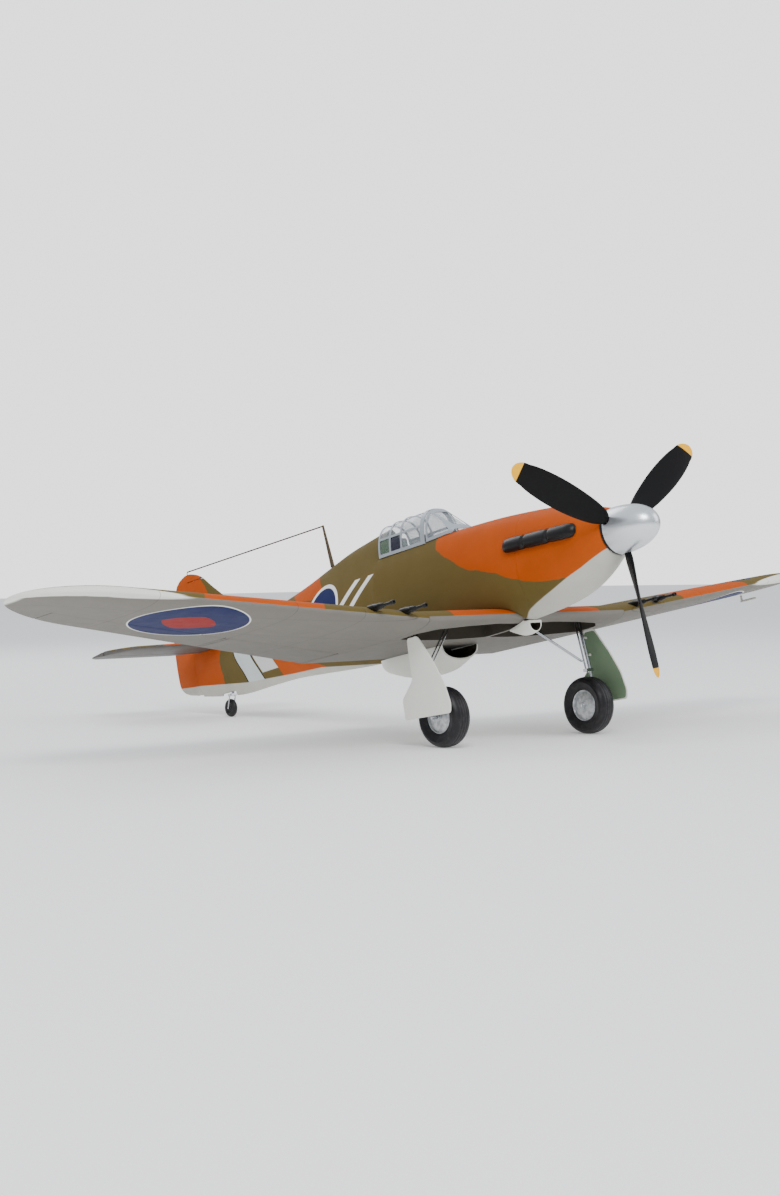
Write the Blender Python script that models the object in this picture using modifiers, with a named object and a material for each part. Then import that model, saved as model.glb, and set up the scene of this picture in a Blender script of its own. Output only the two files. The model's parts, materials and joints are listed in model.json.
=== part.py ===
"""Radio-controlled warbird: a low-wing fighter of 1.52 m span that stands on its main wheels and tail wheel.

Everything is drawn in the airframe's own frame, in millimetres: x to port, y aft from the tip of the
spinner, z up from the thrust line. One empty then sets that frame nose-up on its three wheels.
"""
import math

import bmesh
import bpy
from mathutils import Matrix, Vector

MM = 0.001
GAP = 0.35                       # clearance between pieces that touch

# Driving dimensions of the airframe
HALF_SPAN = 760.0
CENTRE_HALF = 196.0              # half width of the centre section
ROOT_LE, ROOT_Z = 267.0, -81.0   # leading edge of the centre section
ROOT_CHORD, TIP_CHORD = 304.0, 154.0
LE_SWEEP = 0.10                  # aft travel of the leading edge per mm of outer span
DIHEDRAL = math.tan(math.radians(7.0))
INCIDENCE = math.sin(math.radians(2.2))
TIP_Y = 421.0
TIP_ROUND_START = 640.0
SURFACE_CHORD = 45.0             # chord of the ailerons and flaps behind their hinge line
SLOT = 0.6                       # gap round a hinged surface's nose
END_GAP = 2.6                    # gap at a hinged surface's ends
FLAP_ENDS = (200.0, 402.0)
AILERON_ENDS = (407.0, 690.0)

SPINNER_LENGTH, SPINNER_RADIUS = 70.0, 33.5
SPINNER_BASE = 72.0
PROPELLER_Y, PROPELLER_RADIUS = 65.5, 209.6
FIRST_BLADE = 36.7               # degrees above port for the first blade

MAIN_WHEEL = Vector((146.5, 323.5, -214.0))
MAIN_RADIUS, MAIN_WIDTH = 43.6, 31.0
MAIN_STEPS = 32
TAIL_WHEEL = Vector((0.0, 1056.0, -99.5))
TAIL_RADIUS, TAIL_WIDTH = 16.0, 9.0
LEG_TOP = Vector((170.0, 341.0, -79.0))
LEG_FOOT = Vector((167.4, 323.5, -214.0))

STERN_Y = 1141.0                 # hinge line of the rudder
STERN_RADIUS = 6.0
TAILPLANE_Z = 17.0
TAILPLANE_HALF = 209.0
ELEVATOR_Y = 1124.0              # hinge line of the elevators


# ---------------------------------------------------------------- scene and materials
for old in list(bpy.data.objects):
    bpy.data.objects.remove(old, do_unlink=True)

parts = bpy.data.collections.new("rc_warbird_plane")
tools = bpy.data.collections.new("cutters")
bpy.context.scene.collection.children.link(parts)
bpy.context.scene.collection.children.link(tools)
tools.hide_render = True

datum = bpy.data.objects.new("airframe_datum", None)
parts.objects.link(datum)


def finish(name, colour, roughness, metallic=0.0, alpha=1.0):
    made = bpy.data.materials.new(name)
    made.use_nodes = True
    shader = made.node_tree.nodes["Principled BSDF"]
    shader.inputs["Base Color"].default_value = (*colour, 1.0)
    shader.inputs["Roughness"].default_value = roughness
    shader.inputs["Metallic"].default_value = metallic
    shader.inputs["Alpha"].default_value = alpha
    return made


FINISHES = {
    "camouflage": finish("camouflage", (0.32, 0.13, 0.05), 0.6),
    "underside": finish("underside", (0.42, 0.40, 0.36), 0.6),
    "cream": finish("cream", (0.62, 0.60, 0.54), 0.55),
    "silver": finish("silver", (0.72, 0.73, 0.75), 0.3, 0.9),
    "chrome": finish("chrome", (0.8, 0.8, 0.8), 0.15, 1.0),
    "black": finish("black", (0.02, 0.02, 0.022), 0.45),
    "rubber": finish("rubber", (0.025, 0.025, 0.03), 0.6),
    "hub_metal": finish("hub_metal", (0.5, 0.51, 0.53), 0.4, 0.8),
    "frame_grey": finish("frame_grey", (0.45, 0.48, 0.52), 0.4, 0.3),
    "glazing": finish("glazing", (0.85, 0.86, 0.82), 0.08, 0.0, 0.35),
    "interior_green": finish("interior_green", (0.12, 0.2, 0.12), 0.6),
    "wood": finish("wood", (0.2, 0.1, 0.05), 0.6),
    "plywood": finish("plywood", (0.6, 0.42, 0.25), 0.7),
    "motor_metal": finish("motor_metal", (0.3, 0.3, 0.32), 0.35, 0.9),
    "electronics": finish("electronics", (0.03, 0.05, 0.12), 0.5),
    "wire": finish("wire", (0.15, 0.1, 0.08), 0.5),
}


# ---------------------------------------------------------------- building blocks
def metres(point):
    return Vector(point) * MM


def settle(bm, name):
    """A tidy closed mesh from bmesh geometry: doubles merged, normals outwards, round faces smooth."""
    bmesh.ops.remove_doubles(bm, verts=bm.verts, dist=1e-6)
    bmesh.ops.recalc_face_normals(bm, faces=bm.faces)
    mesh = bpy.data.meshes.new(name)
    bm.to_mesh(mesh)
    bm.free()
    mesh.shade_smooth()
    mesh.set_sharp_from_angle(angle=math.radians(40))
    return mesh


def place(name, mesh, look, pivot=(0.0, 0.0, 0.0)):
    """A mesh drawn in the airframe's frame as an object whose origin is at pivot."""
    mesh.transform(Matrix.Translation(-metres(pivot)))
    mesh.materials.append(FINISHES[look])
    made = bpy.data.objects.new(name, mesh)
    made.location = metres(pivot)
    made.parent = datum
    parts.objects.link(made)
    return made


def as_tool(obj):
    """Turns an object into a helper that is cut away from, or joined to, another."""
    parts.objects.unlink(obj)
    tools.objects.link(obj)
    obj.hide_render = True
    obj.display_type = "WIRE"
    return obj


def combine(obj, other, operation):
    step = obj.modifiers.new(f"{operation.lower()}_{other.name}", "BOOLEAN")
    step.operation = operation
    step.object = as_tool(other)
    return obj


def cut(obj, other):
    return combine(obj, other, "DIFFERENCE")


def join(obj, other):
    return combine(obj, other, "UNION")


def skin(bm, rings):
    """Quads between successive rings of points; returns the rings' vertices."""
    rows = [[bm.verts.new(metres(p)) for p in ring] for ring in rings]
    count = len(rows[0])
    for near, far in zip(rows, rows[1:]):
        for i in range(count):
            j = (i + 1) % count
            bm.faces.new((near[i], near[j], far[j], far[i]))
    return rows


def loft(name, rings):
    bm = bmesh.new()
    rows = skin(bm, rings)
    bm.faces.new(rows[0][::-1])
    bm.faces.new(rows[-1])
    return settle(bm, name)


def open_shell(name, outer, inner):
    """A tube with a wall: outer and inner rings, joined round both open ends."""
    bm = bmesh.new()
    skins = [skin(bm, rings) for rings in (outer, inner)]
    for end in (0, -1):
        outside, inside = skins[0][end], skins[1][end]
        for i in range(len(outside)):
            j = (i + 1) % len(outside)
            bm.faces.new((outside[i], outside[j], inside[j], inside[i]))
    return settle(bm, name)


def frame_to(origin, direction, turn=0.0):
    """Matrix that puts local z along direction at origin, turned about it."""
    aim = Vector(direction).to_track_quat("Z", "Y").to_matrix().to_4x4()
    return Matrix.Translation(metres(origin)) @ aim @ Matrix.Rotation(turn, 4, "Z")


def turned(name, profile, origin, direction, look, steps=24, closed=False, turn=0.0):
    """A turned piece: (radius, height) points down its outer side, spun about direction through origin."""
    bm = bmesh.new()
    row = [bm.verts.new(metres((r, 0.0, h))) for r, h in profile]
    for a, b in zip(row, row[1:] + (row[:1] if closed else [])):
        bm.edges.new((a, b))
    mesh = bpy.data.meshes.new(name)
    bm.to_mesh(mesh)
    bm.free()
    mesh.materials.append(FINISHES[look])
    made = bpy.data.objects.new(name, mesh)
    made.matrix_local = frame_to(origin, direction, turn)
    made.parent = datum
    parts.objects.link(made)
    spin = made.modifiers.new("spin", "SCREW")
    spin.steps = spin.render_steps = steps
    spin.use_merge_vertices = True
    spin.merge_threshold = 1e-6
    spin.use_smooth_shade = True
    return made


def rod(name, start, end, radius, look, sides=12, tip_radius=None, pivot=None):
    """A round bar, or a cone frustum when tip_radius is given, from start to end."""
    start, end = Vector(start), Vector(end)
    bm = bmesh.new()
    bmesh.ops.create_cone(
        bm, cap_ends=True, segments=sides, radius1=radius * MM,
        radius2=(radius if tip_radius is None else tip_radius) * MM, depth=(end - start).length * MM)
    bm.transform(frame_to((start + end) / 2, end - start))
    return place(name, settle(bm, name), look, pivot or start)


def block(name, centre, size, look, tilt=0.0, bevel=0.0):
    """A box, tilted about x, with an optional bevel."""
    bm = bmesh.new()
    bmesh.ops.create_cube(bm, size=1.0)
    bm.transform(Matrix.Translation(metres(centre)) @ Matrix.Rotation(tilt, 4, "X")
                 @ Matrix.Diagonal((*metres(size), 1.0)))
    made = place(name, settle(bm, name), look, centre)
    if bevel:
        edge = made.modifiers.new("bevel", "BEVEL")
        edge.width = bevel * MM
        edge.segments = 1
    return made


def tube(name, points, radius, look):
    """A bent wire or pipe through points."""
    line = bpy.data.curves.new(name, "CURVE")
    line.dimensions = "3D"
    line.bevel_depth = radius * MM
    line.bevel_resolution = 2
    line.use_fill_caps = True
    path = line.splines.new("POLY")
    path.points.add(len(points) - 1)
    start = metres(points[0])
    for spot, point in zip(path.points, points):
        spot.co = (*(metres(point) - start), 1.0)
    line.materials.append(FINISHES[look])
    made = bpy.data.objects.new(name, line)
    made.location = start
    made.parent = datum
    parts.objects.link(made)
    return made


def plate(name, outline, lift, thickness, look, axis="Z", pivot=None):
    """A flat plate: its outline extruded from lift by thickness along Z or X."""
    rings = []
    for level in (lift, lift + thickness):
        rings.append([(p[0], p[1], level) if axis == "Z" else (level, p[0], p[1]) for p in outline])
    return place(name, loft(name, rings), look, pivot or rings[0][0])


def smooth_between(table, t):
    """Catmull-Rom interpolation of rows that start with their parameter."""
    last = len(table) - 2
    k = max(0, min(last, sum(row[0] <= t for row in table) - 1))
    before, a, b, after = (table[max(0, min(last + 1, k + d))] for d in (-1, 0, 1, 2))
    span = b[0] - a[0]
    u = (t - a[0]) / span
    values = []
    for i in range(1, len(a)):
        slope_a = (b[i] - before[i]) / max(b[0] - before[0], 1e-9) * span
        slope_b = (after[i] - a[i]) / max(after[0] - a[0], 1e-9) * span
        values.append(
            (2 * u**3 - 3 * u**2 + 1) * a[i] + (u**3 - 2 * u**2 + u) * slope_a
            + (-2 * u**3 + 3 * u**2) * b[i] + (u**3 - u**2) * slope_b)
    return values


def closed_curve(points, count):
    """count points spread evenly along the smooth closed curve through points."""
    size = len(points)
    knots = [0.0]
    for i in range(size):
        knots.append(knots[-1] + (Vector(points[(i + 1) % size]) - Vector(points[i])).length)
    rows = [(knots[-1] * turn + knots[i], *points[i])
            for turn in (-1, 0, 1) for i in range(size)]
    return [smooth_between(rows, knots[-1] * k / count) for k in range(count)]


# ---------------------------------------------------------------- fuselage sections
# y: top z | shoulder x, z | widest x, z | bilge x, z | bottom z
FRONT_STATIONS = [
    (77.5, 34.0, 24.0, 24.0, 34.0, 0.0, 24.0, -24.0, -34.0),
    (105.0, 42.5, 27.5, 33.0, 39.5, -2.0, 28.0, -38.0, -56.5),
    (140.0, 53.0, 30.5, 39.5, 44.0, -6.0, 30.0, -52.0, -72.5),
    (180.0, 60.0, 32.5, 44.5, 47.0, -10.0, 32.0, -61.0, -81.5),
    (232.0, 65.5, 34.0, 49.0, 49.5, -14.0, 37.0, -66.0, -86.5),
    (300.0, 70.5, 35.0, 54.0, 52.5, -16.0, 43.0, -67.0, -91.0),
    (380.0, 72.5, 36.0, 58.0, 55.5, -14.0, 46.0, -66.0, -92.0),
    (460.0, 73.0, 36.0, 60.0, 57.5, -10.0, 48.0, -64.0, -93.0),
    (552.0, 73.0, 36.0, 60.0, 57.0, -8.0, 48.0, -63.0, -95.0),
]
REAR_STATIONS = [
    (552.6, 111.6, 30.6, 62.0, 57.0, -8.0, 48.0, -63.0, -95.0),
    (600.0, 105.0, 30.0, 58.5, 55.0, -8.0, 46.0, -62.0, -94.5),
    (655.0, 96.5, 29.5, 55.0, 52.0, -8.0, 43.0, -60.0, -92.5),
    (713.0, 83.0, 28.0, 51.0, 48.5, -9.0, 39.0, -57.0, -89.0),
    (780.0, 67.0, 25.5, 42.0, 44.0, -10.0, 34.0, -54.0, -84.5),
    (845.0, 54.5, 22.5, 35.0, 39.5, -11.0, 29.0, -51.0, -81.0),
    (920.0, 44.5, 18.5, 28.0, 33.5, -12.0, 21.0, -50.0, -81.5),
    (1000.0, 37.0, 13.5, 23.0, 25.0, -13.0, 12.0, -50.0, -83.0),
    (1070.0, 31.5, 9.5, 19.0, 16.0, -14.0, 8.0, -48.0, -76.5),
    (1140.4, 27.0, 6.2, 15.0, 7.4, -16.0, 6.6, -45.0, -66.5),
]
RING_POINTS = 20
SKIN = 2.6                       # wall of the cowl and the fuselage shell


def section(table, y, inset=0.0, count=RING_POINTS):
    """Closed cross-section of the fuselage at y, moved in by inset."""
    top, ax, az, bx, bz, cx, cz, low = smooth_between(table, y)
    side = [(0.0, top), (ax, az), (bx, bz), (cx, cz), (0.0, low)]
    loop = side + [(-x, z) for x, z in side[-2:0:-1]]
    middle = (top + low) / 2
    ring = []
    for x, z in closed_curve(loop, count):
        reach = math.hypot(x, z - middle)
        keep = 1.0 - inset / max(reach, 1.0)
        ring.append((x * keep, y, middle + (z - middle) * keep))
    return ring


def tall_skin(y):
    """Roof that the inner skin keeps to behind the cockpit."""
    return FRONT_STATIONS if y <= 552.0 else REAR_STATIONS


def make_cowl_and_fuselage():
    cowl_rings = [77.5, 90.0, 105.0, 125.0, 150.0, 180.0, 205.0, 232.0]
    cowl = open_shell("engine_cowl", [section(FRONT_STATIONS, y) for y in cowl_rings],
                      [section(FRONT_STATIONS, y, SKIN) for y in cowl_rings])
    place("engine_cowl", cowl, "camouflage")
    front = [232.0 + GAP, 265.0, 300.0, 340.0, 380.0, 420.0, 460.0, 506.0, 552.0]
    rear = [552.6, 576.0, 600.0, 628.0, 655.0, 684.0, 713.0, 746.0, 780.0, 812.0, 845.0, 882.0, 920.0, 960.0,
            1000.0, 1035.0, 1070.0, 1105.0, 1140.4]
    rings = [section(tall_skin(y), y) for y in front + rear]
    fuselage = place("fuselage_shell", loft("fuselage_shell", rings), "camouflage")
    hollow = [section(FRONT_STATIONS, y, 3.2) for y in (225.0, 265.0, 300.0, 380.0, 460.0, 545.0)]
    low_roof = [(x, y + 3.0, z) for x, y, z in hollow[-1]]
    rear_hollow = []
    for y in (600.0, 655.0, 713.0, 780.0, 845.0, 920.0, 1000.0):
        ring = section(REAR_STATIONS, y, 5.0)
        rear_hollow.append([(x, yy, min(z, 66.0)) for x, yy, z in ring])
    cut(fuselage, place("fuselage_hollow", loft("fuselage_hollow", hollow + [low_roof] + rear_hollow), "black"))
    return fuselage


# ---------------------------------------------------------------- wing
def leading_edge(x):
    return ROOT_LE + LE_SWEEP * max(0.0, x - CENTRE_HALF)


def trailing_edge(x):
    taper = (ROOT_CHORD - TIP_CHORD) / (HALF_SPAN - CENTRE_HALF)
    return leading_edge(x) + ROOT_CHORD - taper * max(0.0, x - CENTRE_HALF)


def tip_pull(x):
    """0 inboard of the rounded tip, 1 at its end."""
    t = max(0.0, (x - TIP_ROUND_START) / (HALF_SPAN - TIP_ROUND_START))
    return 1.0 - (1.0 - min(t, 1.0) ** 2.05) ** (1 / 2.05)


def wing_ends(x):
    pull = tip_pull(x)
    lead, trail = leading_edge(x), trailing_edge(x)
    return lead + (TIP_Y - lead) * pull, trail + (TIP_Y - trail) * pull


def wing_z(x, y, side, grow=0.0):
    """Height of the wing's upper (+1) or lower (-1) surface."""
    lead, trail = wing_ends(x)
    chord = trail - lead
    f = min(max((y - lead) / chord, 0.0), 1.0)
    outer = max(0.0, x - CENTRE_HALF) / (HALF_SPAN - CENTRE_HALF)
    thick = 0.112 + 0.016 * outer
    half = 5 * thick * (0.2969 * math.sqrt(f) - 0.126 * f - 0.3516 * f**2 + 0.2843 * f**3 - 0.1015 * f**4)
    camber, crest = 0.022, 0.4
    if f < crest:
        bend = camber / crest**2 * (2 * crest * f - f * f)
    else:
        bend = camber / (1 - crest) ** 2 * (1 - 2 * crest + 2 * crest * f - f * f)
    base = ROOT_Z + DIHEDRAL * max(0.0, x - CENTRE_HALF) - INCIDENCE * (y - lead)
    return base + chord * (bend + side * half) + side * (0.35 + grow)


def hinge_point(x):
    """(y, z, radius) of the hinge line of the ailerons and flaps."""
    y = trailing_edge(x) - SURFACE_CHORD
    lead, trail = wing_ends(x)
    y = min(y, trail - 0.3 * (trail - lead))
    upper, lower = wing_z(x, y, 1), wing_z(x, y, -1)
    return y, (upper + lower) / 2, (upper - lower) / 2


def arc(centre, radius, start, end, steps):
    """Points (y, z) on an arc, at angles in degrees from straight aft."""
    angles = (math.radians(start + (end - start) * k / steps) for k in range(steps + 1))
    return [(centre[0] + radius * math.cos(a), centre[1] + radius * math.sin(a)) for a in angles]


def wing_ring(x, side, notched=False):
    """Section of the wing. A notched one ends in the hollow that a hinged surface's round nose turns in."""
    lead, trail = wing_ends(x)
    axis_y, axis_z, radius = hinge_point(x)
    hollow = arc((axis_y, axis_z), radius + SLOT, 113, 247, 7)
    stop = hollow[0][0]
    chordwise = [lead + (stop - lead) * (1 - math.cos(math.pi / 2 * k / 7)) for k in range(8)]
    upper = [(y, wing_z(x, y, 1)) for y in chordwise[1:]]
    lower = [(y, wing_z(x, y, -1)) for y in chordwise[:0:-1]]
    aft = [stop + (trail - stop) * k / 4 for k in range(1, 5)]
    plain = [(y, wing_z(x, y, 1)) for y in aft] + [(y, wing_z(x, y, -1)) for y in aft[::-1]]
    nose = [(lead, wing_z(x, lead, 0))]
    return [(x * side, y, z) for y, z in nose + upper + (hollow if notched else plain) + lower]


def surface_ring(x, side):
    """Section of an aileron or flap: a round nose about the hinge line, tapering to the trailing edge."""
    trail = wing_ends(x)[1]
    axis_y, axis_z, radius = hinge_point(x)
    half = (axis_y + trail) / 2
    tail = [(y, wing_z(x, y, s)) for y, s in ((trail, -1), (half, -1))]
    top = [(y, wing_z(x, y, 1)) for y in (half, trail)]
    nose = arc((axis_y, axis_z), radius, 270, 90, 9)
    return [(x * side, y, z) for y, z in top + tail + nose]


def make_wing(side, hand):
    panel = [wing_ring(CENTRE_HALF + GAP, side)]
    for start, end in (FLAP_ENDS, AILERON_ENDS):
        steps = [start + (end - start) * k / 2 for k in range(3)]
        panel.append(wing_ring(start, side))
        panel += [wing_ring(x, side, True) for x in steps]
        panel.append(wing_ring(end, side))
    panel += [wing_ring(x, side) for x in (712.0, 730.0, 744.0, 753.0, 758.0, 759.7)]
    wing = place(f"wing_panel_{hand}", loft(f"wing_panel_{hand}", panel), "camouflage")
    for kind, (start, end) in (("flap", FLAP_ENDS), ("aileron", AILERON_ENDS)):
        stations = [start + END_GAP + (end - start - 2 * END_GAP) * k / 3 for k in range(4)]
        y, z, _ = hinge_point(stations[0])
        place(f"{kind}_{hand}", loft(f"{kind}_{hand}", [surface_ring(x, side) for x in stations]),
              "underside", (stations[0] * side, y, z))
    return wing


def wheel_bay(side):
    """Cutter for the recess that the leg stands in and the wheel would fold into."""
    outline = [(4.0, 284.0), (55.0, 281.0), (110.0, 286.0), (160.0, 296.0), (180.4, 316.0), (180.4, 356.0),
               (120.0, 372.0), (85.0, 377.0), (50.0, 376.0), (4.0, 368.0)]
    rings = [[(x * side, y, z) for x, y in outline] for z in (-130.0, -77.5)]
    return place(f"wheel_bay_{'port' if side > 0 else 'starboard'}", loft("wheel_bay", rings), "black")


def make_centre_section(fuselage):
    stations = [-CENTRE_HALF, -60.0, 60.0, CENTRE_HALF]
    rings = [[(x, y, z) for _, y, z in wing_ring(abs(x), 1)] for x in stations]
    centre = place("wing_centre_section", loft("wing_centre_section", rings), "underside")
    for side in (1, -1):
        cut(centre, wheel_bay(side))
    clear = GAP + 0.25
    section_yz = [(y, z) for _, y, z in wing_ring(0.0, 1)]
    nose, upper, rear = section_yz[0], section_yz[1:11], section_yz[11]
    roof = [(nose[0] - clear, nose[1] + clear)] + [(y, z + clear) for y, z in upper]
    roof += [(rear[0] + clear, rear[1] + clear), (rear[0] + clear, -150.0), (nose[0] - clear, -150.0)]
    saddle = [[(x, y, z) for y, z in roof] for x in (-90.0, 90.0)]
    cut(fuselage, place("wing_saddle", loft("wing_saddle", saddle), "black"))


# ---------------------------------------------------------------- tail
# z: leading edge y, trailing edge y of the fin and rudder together
FIN_LEAD = [(20.0, 950.0), (40.0, 958.0), (106.0, 1041.0), (122.5, 1064.0), (144.0, 1091.0)]
RUDDER_PLAN = [(-63.0, 1152.0), (-57.0, 1184.0), (-48.0, 1201.0), (-36.0, 1209.0), (20.0, 1213.0),
               (80.0, 1207.0), (120.0, 1196.0), (143.6, 1181.0)]
HORN_PLAN = [(145.0, 1092.0, 1180.0), (152.0, 1106.0, 1170.0), (157.0, 1122.0, 1157.0), (159.2, 1132.0, 1149.0)]


def stern_radius(z):
    return STERN_RADIUS - 2.2 * min(max((z + 20.0) / 180.0, 0.0), 1.0)


def fin_ring(z, floor=None, grow=0.0):
    lead = smooth_between(FIN_LEAD, z)[0] - grow
    rear = STERN_Y - SLOT + grow
    radius = stern_radius(z) + 0.2 + grow
    ring = [(0.0, lead)]
    for share, fat in ((0.25, 0.75), (0.6, 1.0), (1.0, 1.0)):
        ring.append((radius * fat, lead + (rear - lead) * share))
    ring += [(-x, y) for x, y in ring[:0:-1]]
    return [(x, y, z if floor is None else floor(y)) for x, y in ring]


def spine(y):
    """Floor of the slot that the fin stands in, below the fuselage's top line."""
    return smooth_between(REAR_STATIONS, y)[0] - 3.6


def tail_z_half(x):
    """Half thickness of the tailplane; it thins towards the tips."""
    return 6.2 - 2.2 * x / TAILPLANE_HALF


def tail_tip(x, start):
    """0 inboard of the rounded tip, growing to 1 at its end."""
    t = max(0.0, (x - start) / (TAILPLANE_HALF + 0.6 - start))
    return 1.0 - math.sqrt(1.0 - min(t, 1.0) ** 2)


def tailplane_ring(x, grow=0.0):
    """Section of the tailplane, hollow at the rear for the elevator's round nose."""
    lead = 1034.0 + 0.13 * x
    lead += (1122.0 - lead) * tail_tip(x, 165.0)
    fat, z = tail_z_half(x), TAILPLANE_Z
    reach = fat * 0.86 + SLOT
    rear = ELEVATOR_Y + reach * math.cos(math.radians(122))
    crown = [(lead + (rear - lead) * 0.12, z + fat * 0.6 + grow), (lead + (rear - lead) * 0.45, z + fat + grow)]
    if grow:
        tail = [(ELEVATOR_Y, z + fat * 0.86 + grow), (ELEVATOR_Y, z - fat * 0.86 - grow)]
    else:
        tail = [(ELEVATOR_Y + reach * math.cos(a), z + reach * math.sin(a))
                for a in (math.radians(d) for d in (122, 158, 202, 238))]
    under = [(y, 2 * z - zz) for y, zz in crown[::-1]]
    return [(x, y, zz) for y, zz in [(lead - grow, z)] + crown + tail + under]


def elevator_ring(x, side):
    """Section of an elevator: a round nose about its hinge line, tapering to the trailing edge."""
    radius, z = tail_z_half(x) * 0.86, TAILPLANE_Z
    trail = 1178.0 + (1150.0 - 1178.0) * tail_tip(x, 185.0)
    nose = [(ELEVATOR_Y + radius * math.cos(a), z + radius * math.sin(a))
            for a in (math.radians(d) for d in (90, 126, 162, 198, 234, 270))]
    return [(x * side, y, zz) for y, zz in nose + [(trail, z - 0.6), (trail, z + 0.6)]]


def stern_hollow(name, low, high):
    """Cutter for the hollow that the rudder's round nose turns in."""
    rings = []
    for z in (low, max(low + 1.0, -20.0), high):
        radius = stern_radius(z) + SLOT
        rings.append([(radius * math.sin(a), STERN_Y + radius * math.cos(a), z)
                      for a in (math.tau * (k + 0.5) / 16 for k in range(16))])
    return place(name, loft(name, rings), "black")


def rudder_ring(z, trail, lead=None):
    """Section of the rudder, with a round nose, or with a horn that reaches forward to lead."""
    radius = stern_radius(z)
    if lead is None:
        nose = [(radius * math.sin(a), STERN_Y - radius * math.cos(a))
                for a in (math.radians(d) for d in (-90, -54, -18, 18, 54, 90))]
    else:
        radius *= 1.0 - 0.5 * (z - 145.0) / 14.2
        quarter = (lead + STERN_Y) / 2
        nose = [(-radius, STERN_Y), (-radius * 0.8, quarter), (-0.3, lead), (0.3, lead), (radius * 0.8, quarter),
                (radius, STERN_Y)]
    return [(x, y, z) for x, y in nose + [(0.7, trail), (-0.7, trail)]]


def make_tail(fuselage):
    cut(fuselage, stern_hollow("stern_hollow", -90.0, 60.0))
    fin_rings = [fin_ring(40.0, spine)] + [fin_ring(z) for z in (60.0, 90.0, 106.0, 122.5, 135.0, 143.6)]
    fin = place("fin", loft("fin", fin_rings), "camouflage")
    cut(fin, stern_hollow("stern_hollow_of_fin", 0.0, 160.0))
    slot_rings = [fin_ring(40.0, lambda y: spine(y) - GAP, GAP), fin_ring(60.0, None, GAP)]
    cut(fuselage, place("fin_slot", loft("fin_slot", slot_rings), "black"))

    rings = [rudder_ring(z, trail) for z, trail in RUDDER_PLAN + [(145.0, 1180.0)]]
    rings += [rudder_ring(z, trail, lead) for z, lead, trail in HORN_PLAN]
    rudder = place("rudder", loft("rudder", rings), "camouflage", (0, STERN_Y, 0))
    join(rudder, rod("aerial_post", (0, STERN_Y, 155), (0, STERN_Y, 163.6), 0.8, "black", 8))

    stations = (-208.0, -203.0, -192.0, -165.0, 0.0, 165.0, 192.0, 203.0, 208.0)
    rings = [[(x, y, z) for _, y, z in tailplane_ring(abs(x))] for x in stations]
    place("tailplane", loft("tailplane", rings), "underside")
    slot = [[(x, y, z) for _, y, z in tailplane_ring(0.0, GAP)] for x in (-50.0, 50.0)]
    cut(fuselage, place("tailplane_slot", loft("tailplane_slot", slot), "black"))
    joiner = ((-14, ELEVATOR_Y, TAILPLANE_Z), (14, ELEVATOR_Y, TAILPLANE_Z))
    cut(fuselage, rod("elevator_hole", *joiner, 3.3, "black", 14))

    halves = []
    for side, hand in ((1, "left"), (-1, "right")):
        rings = [elevator_ring(x, side) for x in (10.0, 34.0, 120.0, 185.0, 200.0, 206.0, 209.0)]
        rings[0] = [(x, min(y, 1142.0), z) for x, y, z in rings[0]]
        halves.append(place(f"elevator_{hand}", loft(f"elevator_{hand}", rings), "underside",
                            (0, ELEVATOR_Y, TAILPLANE_Z)))
    elevator = halves[0]
    elevator.name = "elevator"
    join(elevator, halves[1])
    join(elevator, rod("elevator_joiner", *joiner, 2.4, "chrome", 10))


def make_tail_wheel(fuselage):
    cut(fuselage, block("tail_wheel_notch", (0, 1052, -85), (17, 46, 26), "black"))
    cut(fuselage, rod("tail_post_hole", (0, 1044, -80), (0, 1044, -40), 3.2, "black", 12))
    fork = rod("tailwheel_fork", (0, 1044, -42), (0, 1044, -76), 2.6, "chrome", 12)
    join(fork, block("fork_crown", (0, 1046, -77.5), (14.6, 9, 4), "chrome"))
    for side, hand in ((1, "left"), (-1, "right")):
        join(fork, rod(f"fork_arm_{hand}", (6.1 * side, 1046, -77), (6.1 * side, 1056.5, -101), 1.2, "chrome", 8))
    join(fork, rod("tail_axle", (-6.6, TAIL_WHEEL.y, TAIL_WHEEL.z), (6.6, TAIL_WHEEL.y, TAIL_WHEEL.z), 1.3,
                   "chrome", 10))
    half = TAIL_WIDTH / 2
    profile = [(1.7, 3.6), (8.5, 3.6), (10.5, half), (14.2, half - 0.8), (TAIL_RADIUS, 1.6), (TAIL_RADIUS, -1.6),
               (14.2, 0.8 - half), (10.5, -half), (8.5, -3.6), (1.7, -3.6)]
    turned("tailwheel", profile, TAIL_WHEEL, (1, 0, 0), "rubber", 24, True)


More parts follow.
